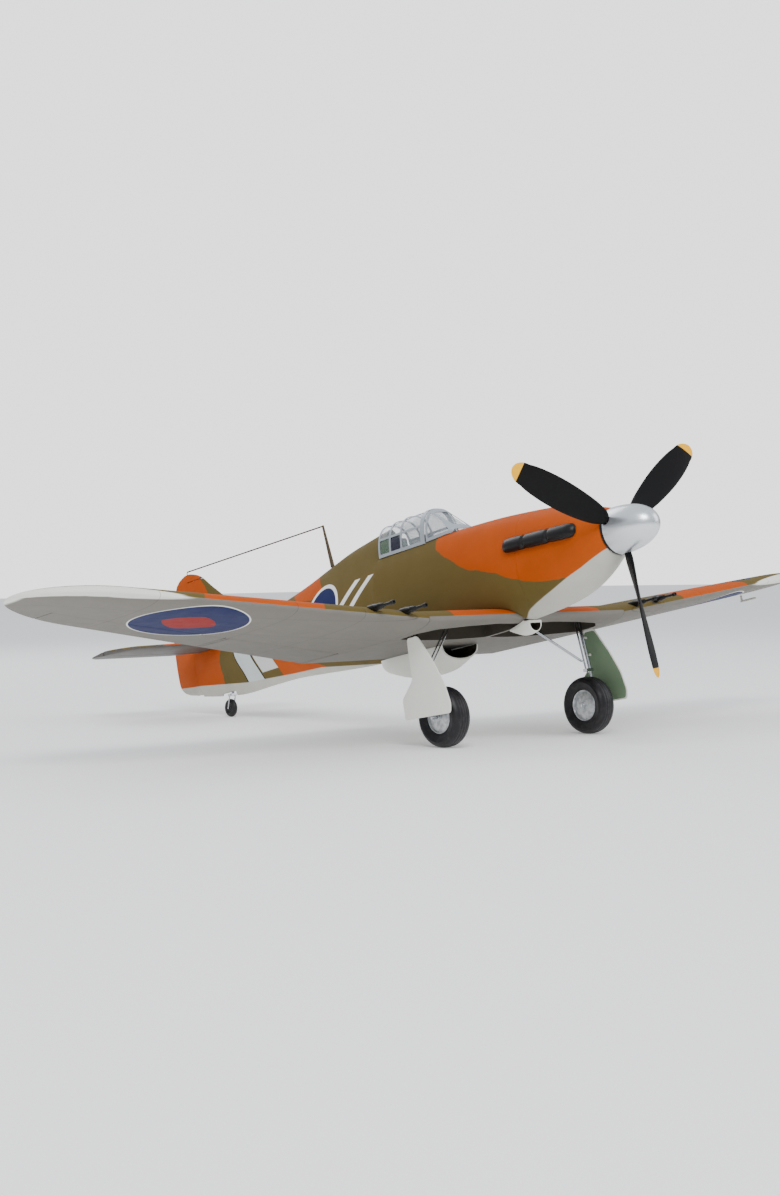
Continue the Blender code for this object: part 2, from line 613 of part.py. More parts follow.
# ---------------------------------------------------------------- propeller and motor
def make_propeller():
    def spinner_radius(share):
        return SPINNER_RADIUS * math.sin(math.pi / 2 * math.sqrt(share))

    shares = [0.0, 0.03, 0.12, 0.27, 0.5, 0.75, 1.0]
    outer = [(spinner_radius(t), -SPINNER_LENGTH * t) for t in shares]
    wall = 1.6
    inner = [(r - wall, h) for r, h in outer[2:]]
    inner[-1] = (SPINNER_RADIUS - wall, -SPINNER_LENGTH)
    profile = outer + inner[::-1] + [(0.0, -SPINNER_LENGTH * 0.1)]
    spinner = turned("spinner", profile, (0, SPINNER_BASE - SPINNER_LENGTH, 0), (0, -1, 0), "silver", 28)
    turned("spinner_backplate", [(SPINNER_RADIUS, 0), (SPINNER_RADIUS, -3.6), (5.4, -3.6), (5.4, 0)],
           (0, SPINNER_BASE + GAP, 0), (0, -1, 0), "black", 28, True)
    turned("propeller_shaft", [(0, 22), (4.5, 22), (5.0, 21), (5.0, -20), (3.0, -20), (3.0, -52), (0, -52)],
           (0, PROPELLER_Y, 0), (0, -1, 0), "motor_metal", 16)
    # radius, chord, thickness and pitch of the blade's sections
    sections = [(7.0, 9.0, 9.0, 70.0), (34.0, 10.5, 9.0, 64.0), (44.0, 20.0, 8.0, 58.0), (64.0, 29.5, 6.5, 51.0),
                (95.0, 35.5, 5.2, 42.0), (130.0, 37.0, 4.4, 34.0), (165.0, 33.5, 3.6, 28.5),
                (190.0, 25.0, 3.0, 25.0), (203.0, 15.0, 2.4, 23.5), (PROPELLER_RADIUS, 5.0, 1.8, 23.0)]
    for number in range(3):
        heading = math.radians(FIRST_BLADE + 120.0 * number)
        out = Vector((math.cos(heading), 0.0, math.sin(heading)))
        across = Vector((-math.sin(heading), 0.0, math.cos(heading)))
        back = Vector((0.0, 1.0, 0.0))
        rings = []
        for radius, chord, thickness, pitch in sections:
            slant = math.radians(pitch)
            along = across * math.cos(slant) + back * math.sin(slant)
            normal = back * math.cos(slant) - across * math.sin(slant)
            centre = Vector((0, PROPELLER_Y, 0)) + out * radius
            rings.append([
                centre + along * (chord / 2 * math.cos(a)) + normal * (thickness / 2 * math.sin(a))
                for a in (math.tau * k / 10 for k in range(10))])
        name = f"propeller_blade_{number + 1}"
        place(name, loft(name, rings), "black", (0, PROPELLER_Y, 0))
        socket = Vector((0, PROPELLER_Y, 0)) + out * 18
        cut(spinner, rod(f"blade_socket_{number + 1}", socket, socket + out * 30, 6.6, "black", 16))


def make_power():
    turned("motor", [(0, 22), (8, 22), (20, 18), (21, 14), (21, -20), (17, -23), (0, -23)], (0, 141, 0),
           (0, -1, 0), "motor_metal", 24)
    outline = [(x * 0.93, z * 0.93) for x, _, z in section(FRONT_STATIONS, 168.0, 3.4)]
    rings = [[(x, y, z) for x, z in outline] for y in (164.5, 168.5)]
    place("firewall", loft("firewall", rings), "plywood")
    block("speed_controller", (0, 186, -22), (26, 30, 10), "electronics", bevel=1.5)
    block("battery", (0, 330, -14), (42, 120, 28), "electronics", bevel=3)
    block("receiver", (0, 640, -30), (24, 42, 14), "electronics", bevel=1.5)
    for hand, side in (("rudder", 1), ("elevator", -1)):
        body = block(f"{hand}_servo", (16 * side, 700, -28), (12, 24, 24), "electronics", bevel=1)
        join(body, rod(f"{hand}_servo_horn", (16 * side, 694, -17), (16 * side, 694, -11), 3.5, "black", 10))


# ---------------------------------------------------------------- cockpit
HOOD_FRONT, HOOD_REAR = 437.0, 549.0
SILL_Z = 63.0


def canopy_ring(y, half, crest, sill, inset=0.0, count=9):
    """Arch of the canopy from sill to sill, with flat-ish sides and a round top."""
    ring = []
    for k in range(count):
        a = math.pi * k / (count - 1)
        x = (half - inset) * math.copysign(abs(math.cos(a)) ** 0.72, math.cos(a))
        ring.append((x, y, sill + (crest - inset - sill) * math.sin(a) ** 0.86))
    return ring


def arch_shell(name, outer, inner, look, lift=0.0):
    """A closed arch-shaped wall from matching outer and inner arches."""
    rings = [[(x, y, z + lift) for x, y, z in a + b[::-1]] for a, b in zip(outer, inner)]
    return place(name, loft(name, rings), look)


def hood_arch(y, inset=0.0):
    share = (y - HOOD_FRONT) / (HOOD_REAR - HOOD_FRONT)
    crest = 118.3 + 7.0 * share * (1 - share) - 2.5 * share
    return canopy_ring(y, 35.5, crest, SILL_Z, inset)


def screen_arch(share, inset=0.0):
    """Windscreen arch from its foot on the deck (0) to the hood's front arch (1)."""
    crest = 76.0 + (117.4 - 76.0) * share ** 0.95
    half = 25.0 + 9.5 * share
    y = 381.0 + 53.0 * share
    return canopy_ring(y, half, crest, 69.5 - 5.0 * share, inset)


def make_canopy(fuselage):
    cut(fuselage, block("cockpit_opening", (0, 493, 75), (52, 106, 60), "black"))
    # sliding hood: glazing inside, cage of bars outside
    ys = [HOOD_FRONT, 465.0, 493.0, 521.0, HOOD_REAR]
    arch_shell("hood_glazing", [hood_arch(y, 1.4) for y in ys], [hood_arch(y, 2.4) for y in ys], "glazing")
    cage = arch_shell("hood_frame", [hood_arch(y) for y in ys], [hood_arch(y, 1.05) for y in ys], "frame_grey")
    # windows: (y from, y to) of each bay, cut through the sides and through the roof
    for number, (start, end) in enumerate(((443.0, 478.0), (483.0, 516.0), (521.0, 544.0))):
        middle, width = (start + end) / 2, end - start
        cut(cage, block(f"side_window_{number}", (0, middle, 82), (90, width, 27), "black"))
        cut(cage, block(f"roof_window_{number}", (0, middle, 115), (44, width, 26), "black"))
    shares = [0.0, 0.25, 0.5, 0.75, 1.0]
    arch_shell("windscreen_glazing", [screen_arch(t, 2.3) for t in shares], [screen_arch(t, 3.3) for t in shares],
               "glazing")
    screen = arch_shell("windscreen_frame", [screen_arch(t) for t in shares],
                        [screen_arch(t, 1.05) for t in shares], "frame_grey")
    for side in (1, -1):
        rings = [[(x * side, y, z) for y, z in ((392, 74), (429, 72), (429, 98), (412, 96))] for x in (12, 60)]
        cut(screen, place(f"screen_side_{side + 1}", loft("screen_side", rings), "black"))
    rings = [[(x, y, z) for x, z in ((-14, 84), (14, 84), (16, 106), (-16, 106))] for y in (350, 428)]
    cut(screen, place("screen_front", loft("screen_front", rings), "black"))


def make_cockpit():
    tray = plate("cockpit_tray", [(-24, 442), (24, 442), (24, 544), (-24, 544)], 22.0, 2.0, "interior_green")
    join(tray, block("instrument_panel", (0, 447, 44), (46, 4, 44), "black"))
    seat = block("pilot_seat", (0, 508, 28), (30, 32, 7), "interior_green", bevel=1.5)
    join(seat, block("seat_back", (0, 527, 52), (30, 5, 54), "interior_green", tilt=math.radians(-8), bevel=1.5))
    join(seat, block("headrest", (0, 528, 84), (16, 7, 15), "black", tilt=math.radians(-8), bevel=2))


# ---------------------------------------------------------------- fittings
def make_scoop():
    """Half-round radiator duct under the belly, open at the front and at the back."""
    # y: half width, z of the underside
    table = [(431.0, 37.0, -119.0), (464.0, 39.5, -132.5), (512.0, 39.0, -133.0), (550.0, 36.0, -128.0),
             (586.0, 30.0, -117.0)]

    def half_round(y, inset=0.0):
        half, low = smooth_between(table, y)
        roof = min(wing_z(0.0, min(y, ROOT_LE + ROOT_CHORD), -1), -93.0) - GAP - 0.3
        return [((half - inset) * math.cos(a), y, roof - (roof - low - inset) * max(math.sin(a), 0.0) ** 0.8)
                for a in (math.pi * k / 8 for k in range(9))]

    ys = [431.0, 447.0, 464.0, 488.0, 512.0, 550.0, 586.0]
    rings = [half_round(y) + half_round(y, 2.2)[::-1] for y in ys]
    place("radiator_scoop", loft("radiator_scoop", rings), "cream")
    core = [[(x, y, z - 0.3) for x, _, z in half_round(y, 4.6)] for y in (488.0, 512.0)]
    place("radiator_core", loft("radiator_core", core), "motor_metal")


def make_intake():
    """Small forward-facing duct on the belly centre line, between the wheel bays."""
    # y: half width, z of the underside
    table = [(262.0, 13.0, -106.5), (272.0, 13.5, -109.0), (286.0, 12.5, -108.5), (300.0, 9.5, -103.5),
             (313.0, 4.5, -98.0)]
    rings = []
    for y in (262.0, 269.0, 272.0, 277.0, 283.0, 290.0, 298.0, 306.0, 313.0):
        half, low = smooth_between(table, y)
        belly = smooth_between(FRONT_STATIONS, y)[7] if y < 270.0 else 0.0
        roof = min(wing_z(0.0, max(y, ROOT_LE + 2.0), -1), belly) - GAP - 0.6
        rings.append([(half * math.cos(a), y, roof - (roof - low) * max(math.sin(a), 0.0) ** 0.85)
                      for a in (math.pi * k / 8 for k in range(9))])
    intake = place("carburettor_intake", loft("carburettor_intake", rings), "cream")
    roof = rings[0][0][2]
    hollow = [[(x * 0.8, y, roof - 3.8 + (z - roof) * 0.7) for x, _, z in rings[0]] for y in (255.0, 280.0)]
    cut(intake, place("intake_mouth", loft("intake_mouth", hollow), "black"))


def hull_x(y, z):
    """Half width of the fuselage at height z."""
    ring = [(p[2], p[0]) for p in section(FRONT_STATIONS, y) if p[0] > -1e-6]
    for (za, xa), (zb, xb) in zip(ring, ring[1:]):
        if zb <= z <= za:
            return xa + (xb - xa) * (z - za) / (zb - za)
    return 0.0


def make_exhausts():
    """Long exhaust shrouds on the sides of the cowl, grooved into three lobes."""
    # y, half height, depth
    lobes = [(115, 4, 1.5), (119, 8.8, 6), (129, 10.5, 9.5), (159, 10.5, 9.5), (162.5, 9.2, 7.2), (166, 10.5, 9.5),
             (206, 10.5, 9.5), (209.5, 9.2, 7.2), (213, 10.5, 9.5), (243, 10.5, 9.5), (251, 9, 6.5), (255, 4.5, 1.5)]
    for side, hand in ((1, "left"), (-1, "right")):
        rings = []
        for y, half, depth in lobes:
            centre = 12.0 + 5.5 * (y - 116) / 140
            arc = [(centre + half * math.cos(math.pi * k / 6), math.sin(math.pi * k / 6)) for k in range(7)]
            skin_x = [hull_x(y, z) + GAP + 0.5 for z, _ in arc]
            outer = [(side * (x + depth * bulge), y, z) for x, (z, bulge) in zip(skin_x, arc)]
            rings.append(outer + [(side * skin_x[k], y, arc[k][0]) for k in (5, 3, 1)])
        place(f"exhaust_{hand}", loft(f"exhaust_{hand}", rings), "black", rings[0][0])


def make_guns(wing, side, hand):
    """Two cannon barrels that stand out of sockets in the wing's leading edge."""
    for x, where in ((231.0, "inner"), (283.0, "outer")):
        lead = leading_edge(x)
        z = wing_z(x, lead, 0) + 8.5
        root = Vector((x * side, lead + 14.0, z))
        cut(wing, rod(f"cannon_socket_{where}_{hand}", root, root - Vector((0, 40, 0)), 5.9, "black", 14))
        profile = [(0, 54), (3.1, 54), (3.1, 49), (2.2, 48), (2.2, 33), (3.4, 31), (5.4, 12), (5.4, 0.4), (0, 0.4)]
        turned(f"cannon_{where}_{hand}", profile, root, (0, -1, 0), "black", 10)


def make_aerials():
    mast_base, mast_top = Vector((0, 712.5, 84.2)), Vector((0, 724.0, 157.0))
    rod("aerial_mast", mast_base, mast_top, 3.6, "wood", 10, 1.9)
    start, end = mast_top + Vector((0, 2.6, -1.0)), Vector((0, STERN_Y - 1.4, 164.6))
    points = [start + (end - start) * (k / 8) - Vector((0, 0, 3.0 * math.sin(math.pi * k / 8))) for k in range(9)]
    tube("aerial_wire", points, 0.55, "wire")
    pitot = [(704, 452, -29.5), (704, 452, -38), (704, 449, -40), (704, 420, -40)]
    tube("pitot_tube", pitot, 1.4, "underside")


# ---------------------------------------------------------------- undercarriage
def make_gear(side, hand):
    def mirrored(point):
        return Vector((point[0] * side, point[1], point[2]))

    top, foot, hub = mirrored(LEG_TOP), mirrored(LEG_FOOT), mirrored(MAIN_WHEEL)
    down = (foot - top).normalized()
    inboard = Vector((-side, 0, 0))
    # leg: a tube with a locking rod clamped beside it and a blind bore for the oleo piston
    reach, bore = 85.0, 40.0
    leg = rod(f"gear_leg_{hand}", top, top + down * reach, 3.1, "chrome", 14)
    clamp = top + down * (reach - 3.5)
    join(leg, rod(f"locking_rod_{hand}", top + inboard * 8.5 + down, clamp + inboard * 8.5, 1.5, "chrome", 8))
    join(leg, block(f"leg_clamp_{hand}", clamp + inboard * 3.6, (14.4, 8.0, 4.6), "chrome"))
    cut(leg, rod(f"leg_bore_{hand}", top + down * (reach - bore), top + down * (reach + 9), 2.1, "chrome", 14))
    piston = rod(f"oleo_piston_{hand}", top + down * (reach - bore + 12), foot, 1.8, "chrome", 12, pivot=hub)
    join(piston, rod(f"axle_{hand}", foot - inboard * 2.6, hub + inboard * (MAIN_WIDTH / 2), 2.4, "chrome", 12))

    half, bead, flat = MAIN_WIDTH / 2, 24.0, 4.5
    tyre = [(bead, 10.5), (31.0, half), (37.0, half - 1.0), (41.2, half - 5.0), (MAIN_RADIUS, flat),
            (MAIN_RADIUS, -flat), (41.2, 5.0 - half), (37.0, 1.0 - half), (31.0, -half), (bead, -10.5)]
    turned(f"tyre_{hand}", tyre, hub, (1, 0, 0), "rubber", MAIN_STEPS, True, STANCE + math.pi / MAIN_STEPS)
    rim = bead - 0.3
    disc = [(2.7, 14.6), (6.0, 13.8), (7.0, 12.0), (rim - 3.0, 8.4), (rim, 10.3)]
    disc += [(r, -h) for r, h in disc[::-1]]
    turned(f"wheel_hub_{hand}", disc, hub, (1, 0, 0), "hub_metal", 20, True)

    outline = [(342, -97), (319, -97), (294, -136), (276, -172), (269, -201), (272, -214), (370, -210.5),
               (370, -181), (343, -157), (343, -120)]
    inner = 177.6 if side > 0 else -177.6 - 1.8
    door = plate(f"gear_door_{hand}", outline, inner, 1.8, "cream", "X")
    for share in (0.22, 0.42):
        clip = top + (foot - top) * share
        join(door, rod(f"door_clip_{hand}_{share}", clip - inboard * (3.1 + GAP), Vector((178.6 * side, *clip.yz)),
                       1.8, "cream", 8))
    knee, anchor = mirrored((156.0, 333.4, -145.0)), mirrored((80.6, 364.0, -80.6))
    spread = Vector((0, 3.2, 1.2))
    tube(f"side_brace_{hand}", [anchor - spread, knee - spread, knee + spread, anchor + spread], 1.3, "chrome")


# ---------------------------------------------------------------- assembly
def stance():
    """Nose-up angle at which the main wheels and the tail wheel touch one floor."""
    across, rise = TAIL_WHEEL.y - MAIN_WHEEL.y, TAIL_WHEEL.z - MAIN_WHEEL.z
    contact = MAIN_RADIUS * math.cos(math.pi / MAIN_STEPS)
    return math.atan2(rise, across) + math.asin((contact - TAIL_RADIUS) / math.hypot(across, rise))


STANCE = stance()


def stand_on_wheels():
    """Tilts the airframe onto its wheels and centres its bounding box on the origin."""
    datum.rotation_euler = (-STANCE, 0.0, 0.0)
    bpy.context.view_layer.update()
    graph = bpy.context.evaluated_depsgraph_get()
    spots = []
    for obj in parts.objects:
        if obj.type != "EMPTY":
            ready = obj.evaluated_get(graph)
            mesh = ready.to_mesh()
            spots += [ready.matrix_world @ v.co for v in mesh.vertices]
            ready.to_mesh_clear()
    low = [min(spot[i] for spot in spots) for i in range(3)]
    high = [max(spot[i] for spot in spots) for i in range(3)]
    datum.location = (-(low[0] + high[0]) / 2, -(low[1] + high[1]) / 2, -low[2])
    bpy.context.view_layer.update()


def main():
    fuselage = make_cowl_and_fuselage()
    make_centre_section(fuselage)
    for side, hand in ((1, "left"), (-1, "right")):
        make_guns(make_wing(side, hand), side, hand)
        make_gear(side, hand)
    make_tail(fuselage)
    make_tail_wheel(fuselage)
    make_canopy(fuselage)
    make_cockpit()
    make_propeller()
    make_power()
    make_scoop()
    make_intake()
    make_exhausts()
    make_aerials()
    stand_on_wheels()


main()
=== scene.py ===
"""Looks of the radio-controlled warbird: fine skins, painted finishes and a plain studio.

Shapes are drawn in the airframe's own frame, in millimetres: x to port, y aft from the tip of the spinner,
z up from the thrust line. DATUM takes that frame to the world, nose-up on the three wheels. Patterns are
painted in the same millimetres, so they stay in place on every moving part.
"""
import functools
import json
import math

import bmesh
import bpy
from mathutils import Euler, Matrix, Vector


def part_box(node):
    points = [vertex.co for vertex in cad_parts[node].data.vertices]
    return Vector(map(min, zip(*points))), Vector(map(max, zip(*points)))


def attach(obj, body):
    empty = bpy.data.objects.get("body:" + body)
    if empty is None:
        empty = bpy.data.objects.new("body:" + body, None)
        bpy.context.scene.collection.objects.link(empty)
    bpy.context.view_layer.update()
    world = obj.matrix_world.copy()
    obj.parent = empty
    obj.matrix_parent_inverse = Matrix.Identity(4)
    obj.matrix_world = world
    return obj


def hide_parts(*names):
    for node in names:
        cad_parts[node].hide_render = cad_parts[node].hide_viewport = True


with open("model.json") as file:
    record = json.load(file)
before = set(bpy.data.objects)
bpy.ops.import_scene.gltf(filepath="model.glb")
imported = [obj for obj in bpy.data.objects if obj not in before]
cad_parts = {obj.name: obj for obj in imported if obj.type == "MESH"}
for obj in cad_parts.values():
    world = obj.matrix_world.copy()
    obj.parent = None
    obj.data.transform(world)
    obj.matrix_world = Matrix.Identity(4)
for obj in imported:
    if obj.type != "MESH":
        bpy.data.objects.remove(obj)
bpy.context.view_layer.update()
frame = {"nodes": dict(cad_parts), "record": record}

MM = 0.001
GAP = 0.35                       # clearance between pieces that touch

# Airframe dimensions, the same as the frame's
HALF_SPAN = 760.0
CENTRE_HALF = 196.0
ROOT_LE, ROOT_Z = 267.0, -81.0
ROOT_CHORD, TIP_CHORD = 304.0, 154.0
LE_SWEEP = 0.10
DIHEDRAL = math.tan(math.radians(7.0))
INCIDENCE = math.sin(math.radians(2.2))
TIP_Y = 421.0
TIP_ROUND_START = 640.0
TIP_STEPS = (640.0, 670.0, 695.0, 715.0, 730.0, 741.0, 749.0, 754.0, 757.5, 759.5, 760.0)
SURFACE_CHORD = 45.0
SLOT = 0.6
END_GAP = 1.7
CANNONS = (("inner", 231.0), ("outer", 283.0))
FLAP_ENDS = (200.0, 402.0)
AILERON_ENDS = (407.0, 690.0)
SPINNER_LENGTH, SPINNER_RADIUS, SPINNER_BASE = 70.0, 33.5, 72.0
PROPELLER_Y, PROPELLER_RADIUS = 65.5, 209.6
FIRST_BLADE = 36.7
MAIN_WHEEL = Vector((146.5, 323.5, -214.0))
MAIN_RADIUS, MAIN_WIDTH = 43.6, 31.0
MAIN_STEPS = 32
TAIL_WHEEL = Vector((0.0, 1056.0, -99.5))
TAIL_RADIUS, TAIL_WIDTH = 16.0, 9.0
LEG_TOP = Vector((170.0, 341.0, -79.0))
LEG_FOOT = Vector((167.4, 323.5, -214.0))
STERN_Y, STERN_RADIUS = 1141.0, 6.0
TAILPLANE_Z, TAILPLANE_HALF = 17.0, 209.0
ELEVATOR_Y = 1124.0
HOOD_FRONT, HOOD_REAR, SILL_Z = 437.0, 549.0, 63.0

# Fineness of the skins
RING_POINTS = 72
CHORD_STEPS = 20
NOSE_STEPS = 15                  # odd, so that a hinge nose and a plain trailing edge match point for point
SHARP_ANGLE = math.radians(38)
SIDES = (("left", 1), ("right", -1))


def airframe_to_world():
    """The airframe's frame in the world: tilted onto its wheels, with the left hub where the frame has it."""
    across, rise = TAIL_WHEEL.y - MAIN_WHEEL.y, TAIL_WHEEL.z - MAIN_WHEEL.z
    contact = MAIN_RADIUS * math.cos(math.pi / MAIN_STEPS)
    tilt = math.atan2(rise, across) + math.asin((contact - TAIL_RADIUS) / math.hypot(across, rise))
    turn = Matrix.Rotation(-tilt, 4, "X")
    low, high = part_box("wheel_hub_left")
    return Matrix.Translation((low + high) / 2 - turn @ (MAIN_WHEEL * MM)) @ turn


DATUM = airframe_to_world()
BODY_OF = {node: body for body, nodes in frame["record"]["behaviour"]["bodies"].items() for node in nodes}


def tip_pull(x):
    """0 inboard of the rounded tip, 1 at its end."""
    t = max(0.0, (x - TIP_ROUND_START) / (HALF_SPAN - TIP_ROUND_START))
    return 1.0 - (1.0 - min(t, 1.0) ** 2.05) ** (1 / 2.05)


# ---------------------------------------------------------------- paint
def tone(red, green, blue):
    """A screen colour, 0 to 255, as the linear colour a shader takes."""
    return tuple((c / 255 / 12.92 if c < 10.4 else ((c / 255 + 0.055) / 1.055) ** 2.4)
                 for c in (red, green, blue)) + (1.0,)


ORANGE = tone(184, 78, 10)
OLIVE = tone(101, 86, 44)
GREY = tone(196, 194, 184)
# wing underside grey, darker than the belly's grey: painted shade under the wing
PAINTED_SHADE_GREY = tone(124, 120, 113)
# tail underside grey, painted darker still: painted shade under the tailplane and elevator
TAIL_PAINTED_SHADE_GREY = tone(84, 81, 77)
CREAM = tone(240, 239, 230)
BLUE = tone(31, 38, 84)
RED = tone(146, 30, 28)
WHITE = tone(240, 240, 238)
DARK = tone(28, 27, 26)
GREEN = tone(120, 144, 114)


class Term:
    """A number in a material's nodes, for sums with other terms and with plain numbers."""

    def __init__(self, paint, socket):
        self.paint, self.socket = paint, socket

    def __abs__(self):
        return self.paint.sum("ABSOLUTE", self)


def term_operator(operation, swapped):
    return lambda term, other: term.paint.sum(operation, *((other, term) if swapped else (term, other)))


for sign, operation in (("add", "ADD"), ("sub", "SUBTRACT"), ("mul", "MULTIPLY"), ("truediv", "DIVIDE"),
                        ("pow", "POWER")):
    setattr(Term, f"__{sign}__", term_operator(operation, False))
    setattr(Term, f"__r{sign}__", term_operator(operation, True))


class Nodes:
    """A node tree, with short ways to add nodes and to feed their inputs, by name or number."""

    def __init__(self, tree):
        self.tree = tree

    def feed(self, node, inputs):
        for key, value in dict(inputs).items():
            if isinstance(value, (Term, bpy.types.NodeSocket)):
                self.tree.links.new(getattr(value, "socket", value), node.inputs[key])
            else:
                node.inputs[key].default_value = value

    def add(self, kind, inputs=(), **settings):
        node = self.tree.nodes.new(kind)
        for key, value in settings.items():
            setattr(node, key, value)
        self.feed(node, inputs)
        return node

    def sum(self, operation, *terms):
        return Term(self, self.add("ShaderNodeMath", enumerate(terms), operation=operation).outputs[0])

    def mix(self, share, below, above):
        return self.add("ShaderNodeMix", {0: share, 6: below, 7: above}, data_type="RGBA").outputs[2]


class Paint(Nodes):
    """One material, with short names for what a painted pattern needs. Lengths are in millimetres."""

    def __init__(self, name, roughness=0.5, metallic=0.0, gloss=0.4):
        self.made = bpy.data.materials.new(name)
        self.made.use_nodes = True
        super().__init__(self.made.node_tree)
        self.shader = self.tree.nodes["Principled BSDF"]
        self.feed(self.shader, {"Metallic": metallic, "Specular IOR Level": gloss})
        self.roughness = roughness
        place = self.add("ShaderNodeTexCoord").outputs["Object"]
        scaled = self.add("ShaderNodeVectorMath", {0: place, "Scale": 1 / MM}, operation="SCALE")
        self.spot = scaled.outputs[0]
        self.x, self.y, self.z = (Term(self, output)
                                  for output in self.add("ShaderNodeSeparateXYZ", {0: self.spot}).outputs)

    def over(self, value, edge, soft=1.0):
        """1 where value is above edge, 0 below, with a soft border."""
        reach = {"Value": value - edge, "From Min": -soft / 2, "From Max": soft / 2}
        ramp = self.add("ShaderNodeMapRange", reach, interpolation_type="SMOOTHSTEP")
        return Term(self, ramp.outputs["Result"])

    def under(self, value, edge, soft=1.0):
        return 1.0 - self.over(value, edge, soft)

    def either(self, *masks):
        return functools.reduce(lambda a, b: self.sum("MAXIMUM", a, b), masks)

    def band(self, value, low, high, soft=1.0):
        return self.over(value, low, soft) * self.under(value, high, soft)

    def lines(self, value, places, width=0.9):
        """Thin lines where value is one of places."""
        gaps = [abs(value - place) for place in places]
        nearest = functools.reduce(lambda a, b: self.sum("MINIMUM", a, b), gaps)
        return self.under(nearest, width / 2, width)

    def along(self, value, points):
        """A function of value that runs straight between (value, result) points."""
        start, span = points[0][0], points[-1][0] - points[0][0]
        results = [result for _, result in points]
        low, rise = min(results), max(results) - min(results)
        node = self.add("ShaderNodeFloatCurve", {"Value": (value - start) / span})
        curve = node.mapping.curves[0]
        rows = [((s - start) / span, (result - low) / rise) for s, result in points]
        for row in rows[1:-1]:
            curve.points.new(*row)
        curve.points[0].location, curve.points[-1].location = rows[0], rows[-1]
        for point in curve.points:
            point.handle_type = "VECTOR"
        node.mapping.update()
        return Term(self, node.outputs[0]) * rise + low

    def noise(self, size, detail=3.0, stretch=(1.0, 1.0, 1.0)):
        """Clouds between 0 and 1 whose blots are about size across."""
        scale = [share / size for share in stretch]
        scaled = self.add("ShaderNodeVectorMath", {0: self.spot, 1: scale}, operation="MULTIPLY")
        node = self.add("ShaderNodeTexNoise", {"Vector": scaled.outputs[0], "Scale": 1.0, "Detail": detail})
        return Term(self, node.outputs["Fac"])

    def wobble(self, size, reach):
        """Clouds spread about nought, up to reach."""
        return (self.noise(size) - 0.5) * (2 * reach)

    def away(self, first, second, centre, squash=1.0):
        """Distance from a centre in the plane of two coordinates."""
        across, up = first - centre[0], (second - centre[1]) * squash
        return self.sum("SQRT", across * across + up * up)

    def finish(self, colour, relief=None, depth=0.0, mottle=0.06, grain=0.08, shine=0.1, cloud=70.0):
        """Puts a colour on the shader, with clouds of wear, a fine surface and an optional relief."""
        colour = colour if isinstance(colour, bpy.types.NodeSocket) else colour[:3]
        shade = 1.0 - mottle + self.noise(cloud, 5.0) * (2 * mottle)
        worn = self.add("ShaderNodeVectorMath", {0: colour, "Scale": shade}, operation="SCALE")
        smear = (self.noise(18.0, 4.0) - 0.5) * (2 * shine)
        height = self.noise(1.6, 2.0) * (grain * MM) + self.noise(38.0, 2.0) * (grain * 5 * MM)
        if relief is not None:
            height = height + relief * (depth * MM)
        bump = self.add("ShaderNodeBump", {"Distance": 1.0, "Height": height})
        self.feed(self.shader, {"Base Color": worn.outputs[0], "Roughness": self.roughness + smear,
                                "Normal": bump.outputs[0]})
        return self.made


def plain(name, colour, roughness, metallic=0.0, gloss=0.4, **more):
    return Paint(name, roughness, metallic, gloss).finish(colour, **more)


def fuselage_paint():
    """Two-tone camouflage above, pale grey below, with plain discs, bars and bands in place of markings."""
    p = Paint("camouflage_paint", 0.68, gloss=0.14)
    y, z = p.y, p.z
    edge = p.wobble(34.0, 3.5)
    height = z + edge
    nose_border = p.along(y, [(60, -60), (153, -50), (197, -46), (226, -37), (257, -26), (275, -16),
                              (303, -8), (333, 1), (355, 13), (384, 30), (406, 46), (417, 78)])
    nose = p.over(height, nose_border, 2.0) * p.under(y, 416.0, 3.0)
    slope = y + p.wobble(50.0, 7.0) - z
    spine_border = p.along(y, [(684, 58), (740, 34), (790, 40), (822, 62)])
    spine_patch = p.over(slope, 662.0, 2.0) * p.under(y, 822.0, 2.0) * p.over(height, spine_border, 2.0)
    hull_border = p.along(y, [(742, -76), (772, -62), (830, -44), (868, -40)])
    hull_patch = p.band(y, 742.0, 868.0, 2.0) * p.under(height, hull_border, 2.0)
    tail_border = p.along(z, [(-80, 1060), (-40, 1052), (0, 1040), (50, 1048), (110, 1076), (165, 1108)])
    tail = p.over(y + edge * 2.0, tail_border, 2.0)
    colour = p.mix(p.either(nose, spine_patch, hull_patch, tail), OLIVE, ORANGE)
    # band round the tail, with dark edges
    slant = y + z * -0.2
    low_side = p.under(z, p.along(y, [(900, -14), (960, -16), (1010, -6)]), 1.0)
    colour = p.mix(low_side * p.band(slant, 938.0, 994.0), colour, DARK)
    colour = p.mix(low_side * p.band(slant, 941.0, 991.0), colour, tone(206, 212, 212))
    patch = p.band(slant, 880.0, 934.0) * p.band(z, -57.0, -25.0)
    colour = p.mix(patch, colour, tone(214, 216, 212))
    # slanted twin bars and a ringed disc on the flanks
    lean = y + z * 1.02
    for start in (606.0, 642.0):
        bar = p.band(lean, start, start + 14.0) * p.band(z, -6.0, 42.0)
        colour = p.mix(bar, colour, WHITE)
    ring = p.away(y, z, (697.0, 6.0))
    colour = p.mix(p.under(ring, 45.0), colour, WHITE)
    colour = p.mix(p.under(ring, 39.0), colour, BLUE)
    # pale belly
    belly_line = p.along(y, [(60, -22), (79, -24), (124, -41), (151, -49), (184, -60), (213, -69), (243, -78),
                             (262, -86), (420, -101), (563, -101), (755, -76), (837, -73), (984, -65),
                             (1126, -48.5), (1215, -41)])
    colour = p.mix(p.under(z, belly_line, 1.5), colour, GREY)
    # cockpit walls
    inside = p.band(y, 438.0, 548.0) * p.under(abs(p.x), 26.8) * p.over(z, 12.0)
    colour = p.mix(inside, colour, tone(96, 112, 92))
    # brushed-on paint: streaks that run with the fuselage
    streaks = p.noise(5.0, 3.0, (1.0, 0.12, 1.0))
    return p.finish(colour, streaks, 0.12, mottle=0.12, cloud=45.0)


